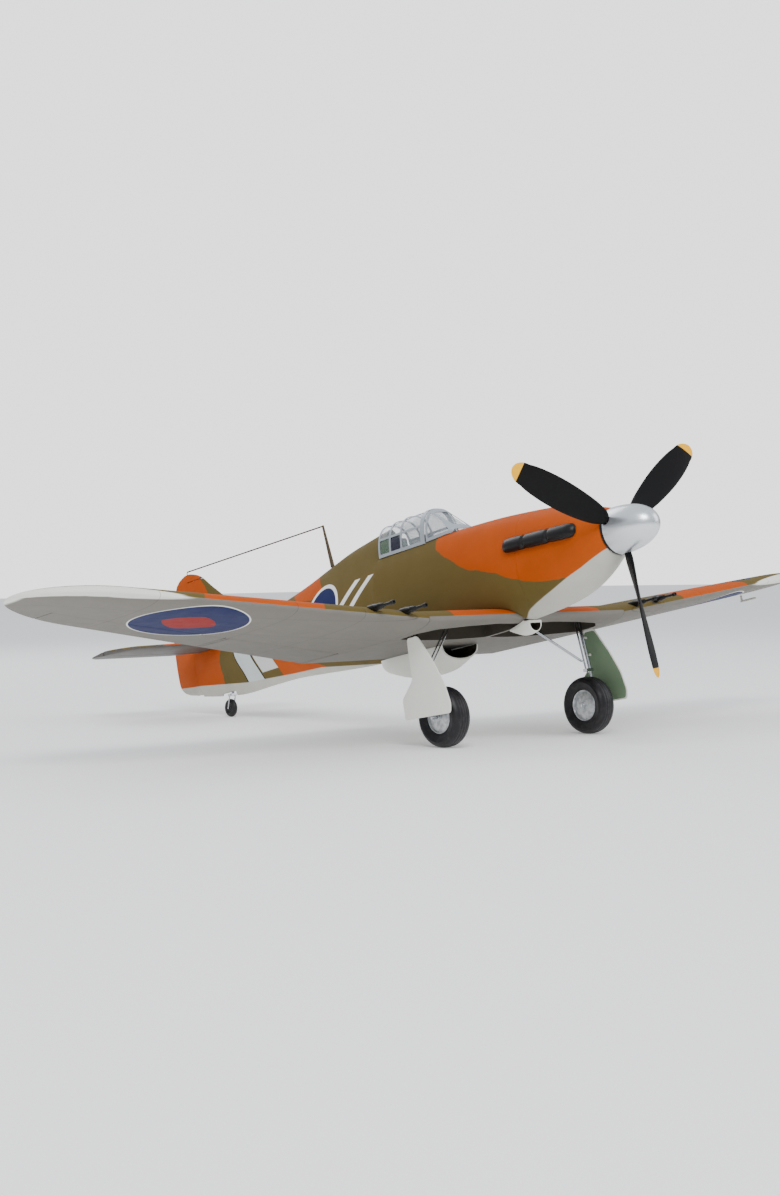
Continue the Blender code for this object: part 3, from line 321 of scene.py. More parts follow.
def disc_and_diamond(p, colour, centre, radius, reach, rim):
    """A plain disc, a little longer than wide, with a rounded diamond on it and a pale rim."""
    across = abs(p.x)
    disc = p.away(across, p.y, centre, 0.87)
    colour = p.mix(p.under(disc, radius + rim), colour, CREAM)
    colour = p.mix(p.under(disc, radius), colour, BLUE)
    diamond = abs(across - centre[0]) ** 1.4 + abs(p.y - centre[1]) ** 1.4
    return p.mix(p.under(diamond, reach ** 1.4, 8.0), colour, RED)


def wing_paint(top):
    """Camouflage above, or grey below that is darkened as painted shade; a pale band along the leading edge
    that is a painted highlight, a pale tip, panel lines and ribs under the covering.
    """
    p = Paint("wing_top_paint", 0.68, gloss=0.14) if top else Paint("wing_underside_paint", 0.62, gloss=0.16)
    across = abs(p.x)
    lead = ROOT_LE + p.sum("MAXIMUM", across - CENTRE_HALF, 0.0) * LE_SWEEP
    lead = lead + p.along(across, [(x, tip_pull(x)) for x in TIP_STEPS]) * (TIP_Y - lead)
    if top:
        bands = across + p.y * 0.55 + p.wobble(120.0, 40.0)
        colour = p.mix(p.either(p.band(bands, 520.0, 705.0, 3.0), p.under(bands, 300.0, 3.0)), OLIVE, ORANGE)
        colour = disc_and_diamond(p, colour, (560.0, 388.0), 58.0, 30.0, 0.0)
        leading_edge_highlight = p.under(p.y - lead, 8.0, 2.0)
    else:
        # the underside's grey is painted shade, darker than the belly's grey
        colour = disc_and_diamond(p, PAINTED_SHADE_GREY, (508.0, 396.0), 77.0, 40.0, 2.0)
        leading_edge_highlight = p.under(p.y - lead, 9.0, 3.0)
    # the pale band along the leading edge is a painted highlight on its rounded nose; the tip is pale too
    colour = p.mix(p.either(leading_edge_highlight, p.over(across, 752.0, 6.0)), colour, CREAM)
    ribs = p.under(p.sum("PINGPONG", across, 23.5), 1.6, 3.0)
    joints = p.either(p.lines(across, (196.2, 300.0, 404.5, 604.0), 0.9),
                      p.lines(p.y - lead, (62.0, 165.0), 0.8))
    colour = p.mix(joints * (0.4 if top else 0.35), colour, DARK)
    return p.finish(colour, ribs * 0.5 - joints, 0.12, mottle=0.1 if top else 0.05)


def propeller_paint():
    """Satin black with yellow tips."""
    p = Paint("propeller_paint", 0.5, gloss=0.14)
    reach = p.away(p.x, p.z, (0.0, 0.0))
    return p.finish(p.mix(p.over(reach, 196.0, 1.2), tone(11, 10, 11), tone(255, 186, 30)), mottle=0.12)


def hub_paint():
    """Cast aluminium with dull blotches."""
    p = Paint("hub_aluminium", 0.36, 0.7)
    blots = p.over(p.noise(5.5, 5.0), 0.52, 0.35)
    return p.finish(p.mix(blots, tone(206, 209, 212), tone(164, 167, 171)), grain=0.1)


def rubber_paint():
    p = Paint("tyre_rubber", 0.4, gloss=0.35)
    scuff = p.over(p.noise(7.0, 5.0), 0.6, 0.3)
    return p.finish(p.mix(scuff * 0.25, tone(24, 23, 27), tone(70, 68, 66)), grain=0.12)


def glazing_paint():
    """Thin clear plastic that has crinkled a little, with painted shade and a painted reflection on its lower
    panes.
    """
    p = Paint("clear_glazing", 0.08, gloss=0.9)
    # the lower panes are tinted: navy as painted shade of the cockpit behind, olive green as a painted
    # reflection
    low = p.under(p.z, 92.0, 1.5)
    painted_shade_pane = low * p.band(p.y, 492.8, 520.2)
    painted_reflection_pane = low * p.over(p.y, 520.2)
    colour = p.mix(painted_reflection_pane, p.mix(painted_shade_pane, tone(176, 186, 194), tone(34, 36, 58)), tone(92, 116, 96))
    made = p.finish(colour, p.noise(9.0, 3.0), 0.9, grain=0.02, shine=0.03)
    p.feed(p.shader, {"Alpha": 0.3 + (painted_shade_pane * 0.55 + painted_reflection_pane * 0.45)})
    return made


def wood_paint(name, dark, light):
    p = Paint(name, 0.5)
    grain = p.noise(3.0, 4.0, (1.0, 1.0, 0.12))
    return p.finish(p.mix(grain, dark, light), grain, 0.1)


PAINTS = {
    "camouflage": fuselage_paint(),
    "wing_top": wing_paint(True),
    "underside": wing_paint(False),
    "cream": plain("cream_paint", CREAM, 0.42, mottle=0.05),
    "grey": plain("grey_paint", GREY, 0.45, mottle=0.05),
    # tailplane and elevator undersides, in a grey darkened as painted shade
    "tail_shade_grey": plain("tail_underside_painted_shade", TAIL_PAINTED_SHADE_GREY, 0.5, mottle=0.06),
    "silver": plain("silver_paint", tone(222, 226, 230), 0.3, 0.85, mottle=0.03),
    "chrome": plain("bright_steel", tone(186, 189, 194), 0.12, 1.0, mottle=0.03),
    "black": plain("satin_black", tone(18, 17, 18), 0.4, gloss=0.3, mottle=0.15),
    # dark inside the wheel bays; the same dark paint is painted shade in hinge gaps, cannon sockets and duct
    # mouths
    "bay": plain("bay_paint_and_hollow_shade", tone(66, 61, 53), 0.7, gloss=0.2),
    "propeller": propeller_paint(),
    "rubber": rubber_paint(),
    "hub_metal": hub_paint(),
    "frame_grey": plain("canopy_frame_paint", tone(168, 176, 184), 0.4, 0.2, mottle=0.06),
    "glazing": glazing_paint(),
    "green": plain("door_inside_green", GREEN, 0.55, mottle=0.1),
    "interior_green": plain("cockpit_green", tone(88, 106, 84), 0.6, mottle=0.12),
    "wood": wood_paint("mast_wood", tone(56, 44, 26), tone(88, 72, 42)),
    "plywood": wood_paint("birch_plywood", tone(196, 158, 110), tone(222, 188, 142)),
    "motor_metal": plain("motor_metal", tone(120, 120, 124), 0.35, 0.9),
    "electronics": plain("heat_shrink_blue", tone(34, 48, 92), 0.4),
    "wire": plain("aerial_cord", tone(64, 42, 28), 0.7, gloss=0.1, cloud=6.0),
}
KEPT_FINISHES = {
    "chrome": ("gear_leg_left", "gear_leg_right", "oleo_piston_left", "oleo_piston_right", "side_brace_left",
               "side_brace_right", "tailwheel_fork"),
    "black": ("spinner_backplate", "radiator_core"),
    "motor_metal": ("motor", "propeller_shaft"),
    "interior_green": ("cockpit_tray", "pilot_seat"),
    "plywood": ("firewall",),
    "electronics": ("battery", "speed_controller", "receiver", "rudder_servo", "elevator_servo"),
    "wood": ("aerial_mast",),
}


# ---------------------------------------------------------------- mesh work
def metres(point):
    return Vector(point) * MM


def settle(bm, name):
    """A closed mesh from bmesh geometry: doubles merged, normals outwards."""
    bmesh.ops.remove_doubles(bm, verts=bm.verts, dist=1e-6)
    bmesh.ops.recalc_face_normals(bm, faces=bm.faces)
    if bm.calc_volume(signed=True) < 0:
        bmesh.ops.reverse_faces(bm, faces=bm.faces)
    mesh = bpy.data.meshes.new(name)
    bm.to_mesh(mesh)
    bm.free()
    return mesh


def skin(bm, rings, close=False):
    rows = [[bm.verts.new(metres(p)) for p in ring] for ring in rings]
    count = len(rows[0])
    for near, far in zip(rows, rows[1:] + (rows[:1] if close else [])):
        for i in range(count):
            j = (i + 1) % count
            bm.faces.new((near[i], near[j], far[j], far[i]))
    return rows


def loft(name, rings):
    bm = bmesh.new()
    rows = skin(bm, rings)
    bm.faces.new(rows[0][::-1])
    bm.faces.new(rows[-1])
    return settle(bm, name)


def open_shell(name, outer, inner):
    """A tube with a wall: outer and inner rings, joined round both open ends."""
    bm = bmesh.new()
    skin(bm, outer + inner[::-1], close=True)
    return settle(bm, name)


def frame_to(origin, direction):
    return Matrix.Translation(metres(origin)) @ Vector(direction).to_track_quat("Z", "Y").to_matrix().to_4x4()


def turned(name, profile, origin, direction, steps=64, closed=False):
    """A turned piece: (radius, height) points of its profile, spun about direction through origin."""
    rings = [[(r * math.cos(a), r * math.sin(a), h) for a in (math.tau * k / steps for k in range(steps))]
             for r, h in profile]
    bm = bmesh.new()
    skin(bm, rings, closed)
    bmesh.ops.remove_doubles(bm, verts=bm.verts, dist=1e-6)
    bm.transform(frame_to(origin, direction))
    return settle(bm, name)


def rod(name, start, end, radius, sides=24):
    start, end = Vector(start), Vector(end)
    bm = bmesh.new()
    bmesh.ops.create_cone(bm, cap_ends=True, segments=sides, radius1=radius * MM, radius2=radius * MM,
                          depth=(end - start).length * MM)
    bm.transform(frame_to((start + end) / 2, end - start))
    return settle(bm, name)


def prism(name, outline, low, high, axis):
    """A flat outline extruded between two levels: points (y, z) along X, (x, z) along Y, (x, y) along Z."""
    def lift(u, v, level):
        return {"X": (level, u, v), "Y": (u, level, v), "Z": (u, v, level)}[axis]
    return loft(name, [[lift(u, v, level) for u, v in outline] for level in (low, high)])


def rounded(outline, radius):
    """The closed outline with each corner turned into a small curve."""
    points = []
    for i in range(len(outline)):
        before, corner, after = (Vector(outline[(i + d) % len(outline)]) for d in (-1, 0, 1))
        reach = min(radius, (before - corner).length / 2.2, (after - corner).length / 2.2)
        start = corner + (before - corner).normalized() * reach
        end = corner + (after - corner).normalized() * reach
        for k in range(6):
            t = k / 5
            points.append(tuple(start * (1 - t) ** 2 + corner * (2 * t * (1 - t)) + end * t * t))
    return points


def rectangle(left, right, low, high, radius):
    return rounded([(left, low), (right, low), (right, high), (left, high)], radius)


def combine(mesh, others, operation):
    """The mesh with the others cut away from it or joined to it."""
    base, *helpers = (bpy.data.objects.new("helper", part) for part in (mesh, *others))
    bpy.context.scene.collection.objects.link(base)
    for helper in helpers:
        bpy.context.scene.collection.objects.link(helper)
        step = base.modifiers.new("step", "BOOLEAN")
        step.operation, step.object = operation, helper
    graph = bpy.context.evaluated_depsgraph_get()
    made = bpy.data.meshes.new_from_object(base.evaluated_get(graph))
    for helper in helpers + [base]:
        bpy.data.objects.remove(helper, do_unlink=True)
    return made


def cut(mesh, *others):
    return combine(mesh, others, "DIFFERENCE")


def join(mesh, *others):
    return combine(mesh, others, "UNION")


def fit(node, mesh, paints, sort_face=None, bevel=0.0):
    """Puts a fine mesh in the place of a CAD node, on the same body; sort_face gives each face's paint."""
    for paint in paints:
        mesh.materials.append(PAINTS[paint])
    for face in mesh.polygons:
        face.material_index = sort_face(face) if sort_face else 0
    mesh.shade_smooth()
    mesh.set_sharp_from_angle(angle=SHARP_ANGLE)
    made = bpy.data.objects.new(f"fine_{node}", mesh)
    bpy.context.scene.collection.objects.link(made)
    made.matrix_world = DATUM
    if bevel:
        edge = made.modifiers.new("soft_edges", "BEVEL")
        edge.width = bevel * MM
        edge.segments = 2
        edge.limit_method = "ANGLE"
        edge.angle_limit = math.radians(50)
    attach(made, BODY_OF[node])
    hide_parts(node)


def wing_side(face):
    """0 and 1 for the wing's upper and lower side, 2 for hinge hollows and cannon sockets, which take the
    dark paint as painted shade in the gaps.
    """
    x, y, z = face.center / MM
    x = abs(x)
    axis_y, axis_z, radius = hinge_point(x)
    hinged = any(start - 0.5 < x < end + 0.5 for start, end in (FLAP_ENDS, AILERON_ENDS))
    if hinged and math.hypot(y - axis_y, z - axis_z) < radius + SLOT + 0.2:
        return 2
    for _, place in CANNONS:
        axis = cannon_axis(place, 1, 0.0, 0.0)[0]
        if y < axis[1] + 14.5 and math.hypot(x - axis[0], z - axis[2]) < 6.0:
            return 2
    middle = (wing_z(x, y, 1) + wing_z(x, y, -1)) / 2
    return 0 if z > middle + 0.6 else 1


def faces_up(face):
    """0 for the upper side of a wing or tailplane, 1 for its lower side."""
    return 0 if face.normal.z > 0.3 else 1


def in_bay(face):
    """0 and 1 for the upper and lower side of the centre section, 2 for the inside of its wheel bays."""
    x, y, z = face.center / MM
    roof, floor = wing_z(abs(x), y, 1), wing_z(abs(x), y, -1)
    inside = floor + 0.8 < z < roof - 0.8 and 279.0 < y < 379.0 and abs(x) < 182.0
    return 2 if inside else faces_up(face)


def fan(start, end, steps):
    """Even angles in radians from start to end, which are in degrees."""
    return [math.radians(start + (end - start) * k / steps) for k in range(steps + 1)]


def spread(start, end, step):
    """Even values from start to end, about a step apart."""
    count = max(1, round((end - start) / step))
    return [start + (end - start) * k / count for k in range(count + 1)]


def smooth_between(table, t):
    """Catmull-Rom interpolation of rows that start with their parameter."""
    last = len(table) - 2
    k = max(0, min(last, sum(row[0] <= t for row in table) - 1))
    before, a, b, after = (table[max(0, min(last + 1, k + d))] for d in (-1, 0, 1, 2))
    span = b[0] - a[0]
    u = (t - a[0]) / span
    values = []
    for i in range(1, len(a)):
        slope_a = (b[i] - before[i]) / max(b[0] - before[0], 1e-9) * span
        slope_b = (after[i] - a[i]) / max(after[0] - a[0], 1e-9) * span
        values.append(
            (2 * u**3 - 3 * u**2 + 1) * a[i] + (u**3 - 2 * u**2 + u) * slope_a
            + (-2 * u**3 + 3 * u**2) * b[i] + (u**3 - u**2) * slope_b)
    return values


def closed_curve(points, count):
    """count points spread evenly along the smooth closed curve through points."""
    size = len(points)
    knots = [0.0]
    for i in range(size):
        knots.append(knots[-1] + (Vector(points[(i + 1) % size]) - Vector(points[i])).length)
    rows = [(knots[-1] * turn + knots[i], *points[i])
            for turn in (-1, 0, 1) for i in range(size)]
    return [smooth_between(rows, knots[-1] * k / count) for k in range(count)]


# ---------------------------------------------------------------- fuselage
# y: top z | shoulder x, z | widest x, z | bilge x, z | bottom z
FRONT_STATIONS = [
    (77.5, 34.0, 24.0, 24.0, 34.0, 0.0, 24.0, -24.0, -34.0),
    (105.0, 42.5, 27.5, 33.0, 39.5, -2.0, 28.0, -38.0, -56.5),
    (140.0, 53.0, 30.5, 39.5, 44.0, -6.0, 30.0, -52.0, -72.5),
    (180.0, 60.0, 32.5, 44.5, 47.0, -10.0, 32.0, -61.0, -81.5),
    (232.0, 65.5, 34.0, 49.0, 49.5, -14.0, 37.0, -66.0, -86.5),
    (300.0, 70.5, 35.0, 54.0, 52.5, -16.0, 43.0, -67.0, -91.0),
    (380.0, 72.5, 36.0, 58.0, 55.5, -14.0, 46.0, -66.0, -92.0),
    (460.0, 73.0, 36.0, 60.0, 57.5, -10.0, 48.0, -64.0, -93.0),
    (552.0, 73.0, 36.0, 60.0, 57.0, -8.0, 48.0, -63.0, -95.0),
]
REAR_STATIONS = [
    (552.6, 111.6, 30.6, 62.0, 57.0, -8.0, 48.0, -63.0, -95.0),
    (600.0, 105.0, 30.0, 58.5, 55.0, -8.0, 46.0, -62.0, -94.5),
    (655.0, 96.5, 29.5, 55.0, 52.0, -8.0, 43.0, -60.0, -92.5),
    (713.0, 83.0, 28.0, 51.0, 48.5, -9.0, 39.0, -57.0, -89.0),
    (780.0, 67.0, 25.5, 42.0, 44.0, -10.0, 34.0, -54.0, -84.5),
    (845.0, 54.5, 22.5, 35.0, 39.5, -11.0, 29.0, -51.0, -81.0),
    (920.0, 44.5, 18.5, 28.0, 33.5, -12.0, 21.0, -50.0, -81.5),
    (1000.0, 37.0, 13.5, 23.0, 25.0, -13.0, 12.0, -50.0, -83.0),
    (1070.0, 31.5, 9.5, 19.0, 16.0, -14.0, 8.0, -48.0, -76.5),
    (1140.4, 27.0, 6.2, 15.0, 7.4, -16.0, 6.6, -45.0, -66.5),
]
COWL_WALL = 2.6


def section(table, y, inset=0.0, count=RING_POINTS):
    """Closed cross-section of the fuselage at y, moved in by inset."""
    top, ax, az, bx, bz, cx, cz, low = smooth_between(table, y)
    side = [(0.0, top), (ax, az), (bx, bz), (cx, cz), (0.0, low)]
    loop = side + [(-x, z) for x, z in side[-2:0:-1]]
    middle = (top + low) / 2
    ring = []
    for x, z in closed_curve(loop, count):
        reach = math.hypot(x, z - middle)
        keep = 1.0 - inset / max(reach, 1.0)
        ring.append((x * keep, y, middle + (z - middle) * keep))
    return ring


def make_cowl():
    lip = [(77.5, 0.9), (77.9, 0.3), (78.8, 0.0)]
    outer = [section(FRONT_STATIONS, y, inset) for y, inset in lip]
    outer += [section(FRONT_STATIONS, y) for y in spread(82.0, 232.0, 6.0)]
    inner = [section(FRONT_STATIONS, y, COWL_WALL) for y in spread(77.5, 232.0, 8.0)]
    fit("engine_cowl", open_shell("engine_cowl", outer, inner), ["camouflage"])


def make_fuselage():
    front = spread(232.0 + GAP, 552.0, 8.0)
    rear = spread(552.6, 1140.4, 8.0)
    rings = [section(FRONT_STATIONS, y) for y in front] + [section(REAR_STATIONS, y) for y in rear]
    hollow = [section(FRONT_STATIONS, y, 3.2, 40) for y in (225.0, 265.0, 300.0, 380.0, 460.0, 540.0)]
    hollow.append(section(FRONT_STATIONS, 548.0, 10.0, 40))
    for y, inset in ((560.0, 9.0), (600.0, 6.5), (655.0, 5.0), (713.0, 5.0), (780.0, 5.0), (845.0, 5.0),
                     (920.0, 5.0), (1000.0, 5.0)):
        hollow.append([(x, yy, min(z, 66.0)) for x, yy, z in section(REAR_STATIONS, y, inset, 40)])
    slot = [fin_ring(40.0, lambda y: spine(y) - GAP, GAP), fin_ring(60.0, None, GAP)]
    tail_slot = [[(x, y, z) for _, y, z in tailplane_ring(0.0, GAP)] for x in (-50.0, 50.0)]
    mesh = cut(
        loft("fuselage", rings), loft("hollow", hollow), wing_saddle(), stern_hollow(-90.0, 60.0),
        loft("fin_slot", slot), loft("tailplane_slot", tail_slot),
        rod("elevator_hole", (-14, ELEVATOR_Y, TAILPLANE_Z), (14, ELEVATOR_Y, TAILPLANE_Z), 3.3),
        prism("tail_wheel_notch", rectangle(-8.5, 8.5, 1029.0, 1075.0, 4.0), -98.0, -72.0, "Z"),
        rod("tail_post_hole", (0, 1044, -80), (0, 1044, -40), 3.2),
        prism("cockpit_opening", rectangle(-26.0, 26.0, 440.0, 546.0, 6.0), 45.0, 105.0, "Z"))
    fit("fuselage_shell", mesh, ["camouflage"])


# ---------------------------------------------------------------- wing
def leading_edge(x):
    return ROOT_LE + LE_SWEEP * max(0.0, x - CENTRE_HALF)


def trailing_edge(x):
    taper = (ROOT_CHORD - TIP_CHORD) / (HALF_SPAN - CENTRE_HALF)
    return leading_edge(x) + ROOT_CHORD - taper * max(0.0, x - CENTRE_HALF)


def wing_ends(x):
    pull = tip_pull(x)
    lead, trail = leading_edge(x), trailing_edge(x)
    return lead + (TIP_Y - lead) * pull, trail + (TIP_Y - trail) * pull


def wing_z(x, y, side):
    """Height of the wing's upper (+1) or lower (-1) surface."""
    lead, trail = wing_ends(x)
    chord = trail - lead
    f = min(max((y - lead) / chord, 0.0), 1.0)
    outer = max(0.0, x - CENTRE_HALF) / (HALF_SPAN - CENTRE_HALF)
    thick = 0.112 + 0.016 * outer
    half = 5 * thick * (0.2969 * math.sqrt(f) - 0.126 * f - 0.3516 * f**2 + 0.2843 * f**3 - 0.1015 * f**4)
    camber, crest = 0.022, 0.4
    if f < crest:
        bend = camber / crest**2 * (2 * crest * f - f * f)
    else:
        bend = camber / (1 - crest) ** 2 * (1 - 2 * crest + 2 * crest * f - f * f)
    base = ROOT_Z + DIHEDRAL * max(0.0, x - CENTRE_HALF) - INCIDENCE * (y - lead)
    return base + chord * (bend + side * half) + side * 0.35


def hinge_point(x):
    """(y, z, radius) of the hinge line of the ailerons and flaps."""
    y = trailing_edge(x) - SURFACE_CHORD
    lead, trail = wing_ends(x)
    y = min(y, trail - 0.3 * (trail - lead))
    upper, lower = wing_z(x, y, 1), wing_z(x, y, -1)
    return y, (upper + lower) / 2, (upper - lower) / 2


def arc(centre, radius, start, end, steps):
    """Points (y, z) on an arc, at angles in degrees from straight aft."""
    return [(centre[0] + radius * math.cos(a), centre[1] + radius * math.sin(a))
            for a in fan(start, end, steps)]


def wing_ring(x, side, notched=False):
    """Section of the wing. A notched one ends in the hollow that a hinged surface's round nose turns in."""
    lead, trail = wing_ends(x)
    axis_y, axis_z, radius = hinge_point(x)
    hollow = arc((axis_y, axis_z), radius + SLOT, 113, 247, NOSE_STEPS)
    stop = hollow[0][0]
    chordwise = [lead + (stop - lead) * (1 - math.cos(math.pi / 2 * k / CHORD_STEPS))
                 for k in range(CHORD_STEPS + 1)]
    upper = [(y, wing_z(x, y, 1)) for y in chordwise[1:]]
    lower = [(y, wing_z(x, y, -1)) for y in chordwise[:0:-1]]
    half = (NOSE_STEPS + 1) // 2
    aft = [stop + (trail - stop) * k / half for k in range(1, half + 1)]
    flat = [(y, wing_z(x, y, 1)) for y in aft] + [(y, wing_z(x, y, -1)) for y in aft[::-1]]
    nose = [(lead, wing_z(x, lead, 0))]
    return [(x * side, y, z) for y, z in nose + upper + (hollow if notched else flat) + lower]


def surface_ring(x, side):
    """Section of an aileron or flap: a round nose about the hinge line, tapering to the trailing edge."""
    trail = wing_ends(x)[1]
    axis_y, axis_z, radius = hinge_point(x)
    aft = [axis_y + (trail - axis_y) * k / 6 for k in range(1, 7)]
    top = [(y, wing_z(x, y, 1)) for y in aft]
    low = [(y, wing_z(x, y, -1)) for y in aft[::-1]]
    nose = arc((axis_y, axis_z), radius, 270, 90, 14)
    return [(x * side, y, z) for y, z in top + low + nose]


def wing_saddle():
    """Cutter that leaves the fuselage clear of the centre section."""
    clear = GAP + 0.25
    ring = [(y, z) for _, y, z in wing_ring(0.0, 1)]
    upper = ring[1:CHORD_STEPS + 2 + NOSE_STEPS // 2]
    nose, rear = ring[0], upper[-1]
    roof = [(nose[0] - clear, nose[1] + clear)] + [(y, z + clear) for y, z in upper]
    roof += [(rear[0] + clear, rear[1] + clear), (rear[0] + clear, -150.0), (nose[0] - clear, -150.0)]
    return loft("wing_saddle", [[(x, y, z) for y, z in roof] for x in (-90.0, 90.0)])


def make_wing(side, hand):
    panel = [wing_ring(CENTRE_HALF + GAP, -1)]
    for start, end in (FLAP_ENDS, AILERON_ENDS):
        panel.append(wing_ring(start, -1))
        panel += [wing_ring(x, -1, True) for x in spread(start, end, 14.0)]
        panel.append(wing_ring(end, -1))
    tip = [HALF_SPAN - (HALF_SPAN - 700.0) * (1 - math.sin(math.pi / 2 * k / 16)) for k in range(15)]
    panel += [wing_ring(x, -1) for x in tip + [759.4, 759.75, 759.92, 759.98]]
    sockets = [rod("socket", *cannon_axis(x, -1, 14.0, -26.0), 5.9) for _, x in CANNONS]
    mesh = cut(loft(f"wing_{hand}", panel), *sockets)
    if side > 0:
        mesh.transform(Matrix.Diagonal((-1.0, 1.0, 1.0, 1.0)))
        mesh.flip_normals()
    fit(f"wing_panel_{hand}", mesh, ["wing_top", "underside", "bay"], wing_side)
    for kind, (start, end) in (("flap", FLAP_ENDS), ("aileron", AILERON_ENDS)):
        rings = [surface_ring(x, side) for x in spread(start + END_GAP, end - END_GAP, 16.0)]
        fit(f"{kind}_{hand}", loft(kind, rings), ["wing_top", "underside"], faces_up)


def make_centre_section():
    rings = [[(x, y, z) for _, y, z in wing_ring(abs(x), 1)] for x in spread(-CENTRE_HALF, CENTRE_HALF, 20.0)]
    outline = [(4.0, 284.0), (55.0, 281.0), (110.0, 286.0), (160.0, 296.0), (180.4, 316.0), (180.4, 356.0),
               (120.0, 372.0), (85.0, 377.0), (50.0, 376.0), (4.0, 368.0)]
    bays = [prism("bay", [(x * side, y) for x, y in rounded(outline, 6.0)], -130.0, -77.5, "Z")
            for _, side in SIDES]
    mesh = cut(loft("centre", rings), *bays)
    fit("wing_centre_section", mesh, ["wing_top", "underside", "bay"], in_bay)


def cannon_axis(x, side, start, end):
    """Two points on a cannon's axis, at distances aft of the leading edge."""
    lead = leading_edge(x)
    z = wing_z(x, lead, 0) + 8.5
    return (x * side, lead + start, z), (x * side, lead + end, z)


def make_cannons(side, hand):
    profile = [(0, 54), (2.9, 54), (3.1, 53.6), (3.1, 49), (2.2, 48), (2.2, 33), (3.0, 32), (3.4, 31),
               (3.9, 27), (4.6, 24), (4.6, 22), (4.2, 21), (5.4, 12), (5.4, 0.4), (0, 0.4)]
    for where, x in CANNONS:
        root, muzzle = cannon_axis(x, side, 14.0, -42.0)
        barrel = turned("barrel", profile, root, (0, -1, 0), 32)
        bore = rod("bore", Vector(muzzle) + Vector((0, 10, 0)), Vector(muzzle) - Vector((0, 2, 0)), 1.5)
        fit(f"cannon_{where}_{hand}", cut(barrel, bore), ["black"])


# ---------------------------------------------------------------- tail
FIN_LEAD = [(20.0, 950.0), (40.0, 958.0), (106.0, 1041.0), (122.5, 1064.0), (144.0, 1091.0)]
RUDDER_PLAN = [(-63.0, 1152.0), (-57.0, 1184.0), (-48.0, 1201.0), (-36.0, 1209.0), (20.0, 1213.0),
               (80.0, 1207.0), (120.0, 1196.0), (143.6, 1181.0)]
HORN_PLAN = [(145.0, 1092.0, 1180.0), (152.0, 1106.0, 1170.0), (157.0, 1122.0, 1157.0),
             (159.2, 1132.0, 1149.0)]


def stern_radius(z):
    return STERN_RADIUS - 2.2 * min(max((z + 20.0) / 180.0, 0.0), 1.0)


def fin_ring(z, floor=None, grow=0.0):
    lead = smooth_between(FIN_LEAD, z)[0] - grow
    rear = STERN_Y - SLOT + grow
    radius = stern_radius(z) + 0.2 + grow
    ring = [(0.0, lead)]
    for share in (0.03, 0.1, 0.2, 0.35, 0.6, 1.0):
        fat = min(1.0, math.sqrt(share / 0.5) * 1.06)
        ring.append((radius * fat, lead + (rear - lead) * share))
    ring += [(-x, y) for x, y in ring[:0:-1]]
    return [(x, y, z if floor is None else floor(y)) for x, y in ring]


def spine(y):
    return smooth_between(REAR_STATIONS, y)[0] - 3.6


def tail_z_half(x):
    return 6.2 - 2.2 * x / TAILPLANE_HALF


def tail_tip(x, start):
    t = max(0.0, (x - start) / (TAILPLANE_HALF + 0.6 - start))
    return 1.0 - math.sqrt(1.0 - min(t, 1.0) ** 2)


def tailplane_ring(x, grow=0.0):
    """Section of the tailplane, hollow at the rear for the elevator's round nose."""
    lead = 1034.0 + 0.13 * x
    lead += (1122.0 - lead) * tail_tip(x, 165.0)
    fat, z = tail_z_half(x), TAILPLANE_Z
    reach = fat * 0.86 + SLOT
    rear = ELEVATOR_Y + reach * math.cos(math.radians(122))
    crown = []
    for share in (0.02, 0.07, 0.15, 0.27, 0.45, 0.75):
        rise = math.sin(math.pi / 2 * min(1.0, share / 0.45) ** 0.5)
        crown.append((lead + (rear - lead) * share,
                      z + fat * rise * (1.0 - 0.1 * max(0.0, share - 0.45)) + grow))
    if grow:
        tail = [(ELEVATOR_Y, z + fat * 0.86 + grow), (ELEVATOR_Y, z - fat * 0.86 - grow)]
    else:
        tail = arc((ELEVATOR_Y, z), reach, 122, 238, 11)
    below = [(y, 2 * z - zz) for y, zz in crown[::-1]]
    return [(x, y, zz) for y, zz in [(lead - grow, z)] + crown + tail + below]


def elevator_ring(x, side):
    radius, z = tail_z_half(x) * 0.86, TAILPLANE_Z
    trail = 1178.0 + (1150.0 - 1178.0) * tail_tip(x, 185.0)
    nose = arc((ELEVATOR_Y, z), radius, 90, 270, 12)
    return [(x * side, y, zz) for y, zz in nose + [(trail - 1, z - 0.7), (trail, z), (trail - 1, z + 0.7)]]


def stern_hollow(low, high):
    rings = []
    for z in (low, max(low + 1.0, -20.0), high):
        radius = stern_radius(z) + SLOT
        rings.append([(radius * math.sin(a), STERN_Y + radius * math.cos(a), z)
                      for a in (math.tau * (k + 0.5) / 32 for k in range(32))])
    return loft("stern_hollow", rings)


def rudder_ring(z, trail, lead=None):
    """Section of the rudder, with a round nose, or with a horn that reaches forward to lead."""
    radius = reach = stern_radius(z)
    if lead is not None:
        radius *= 1.0 - 0.5 * (z - 145.0) / 14.2
        reach = STERN_Y - lead
    nose = [(radius * math.sin(a), STERN_Y - reach * math.cos(a)) for a in fan(-90, 90, 12)]
    return [(x, y, z) for x, y in nose + [(0.8, trail - 1), (0.0, trail), (-0.8, trail - 1)]]


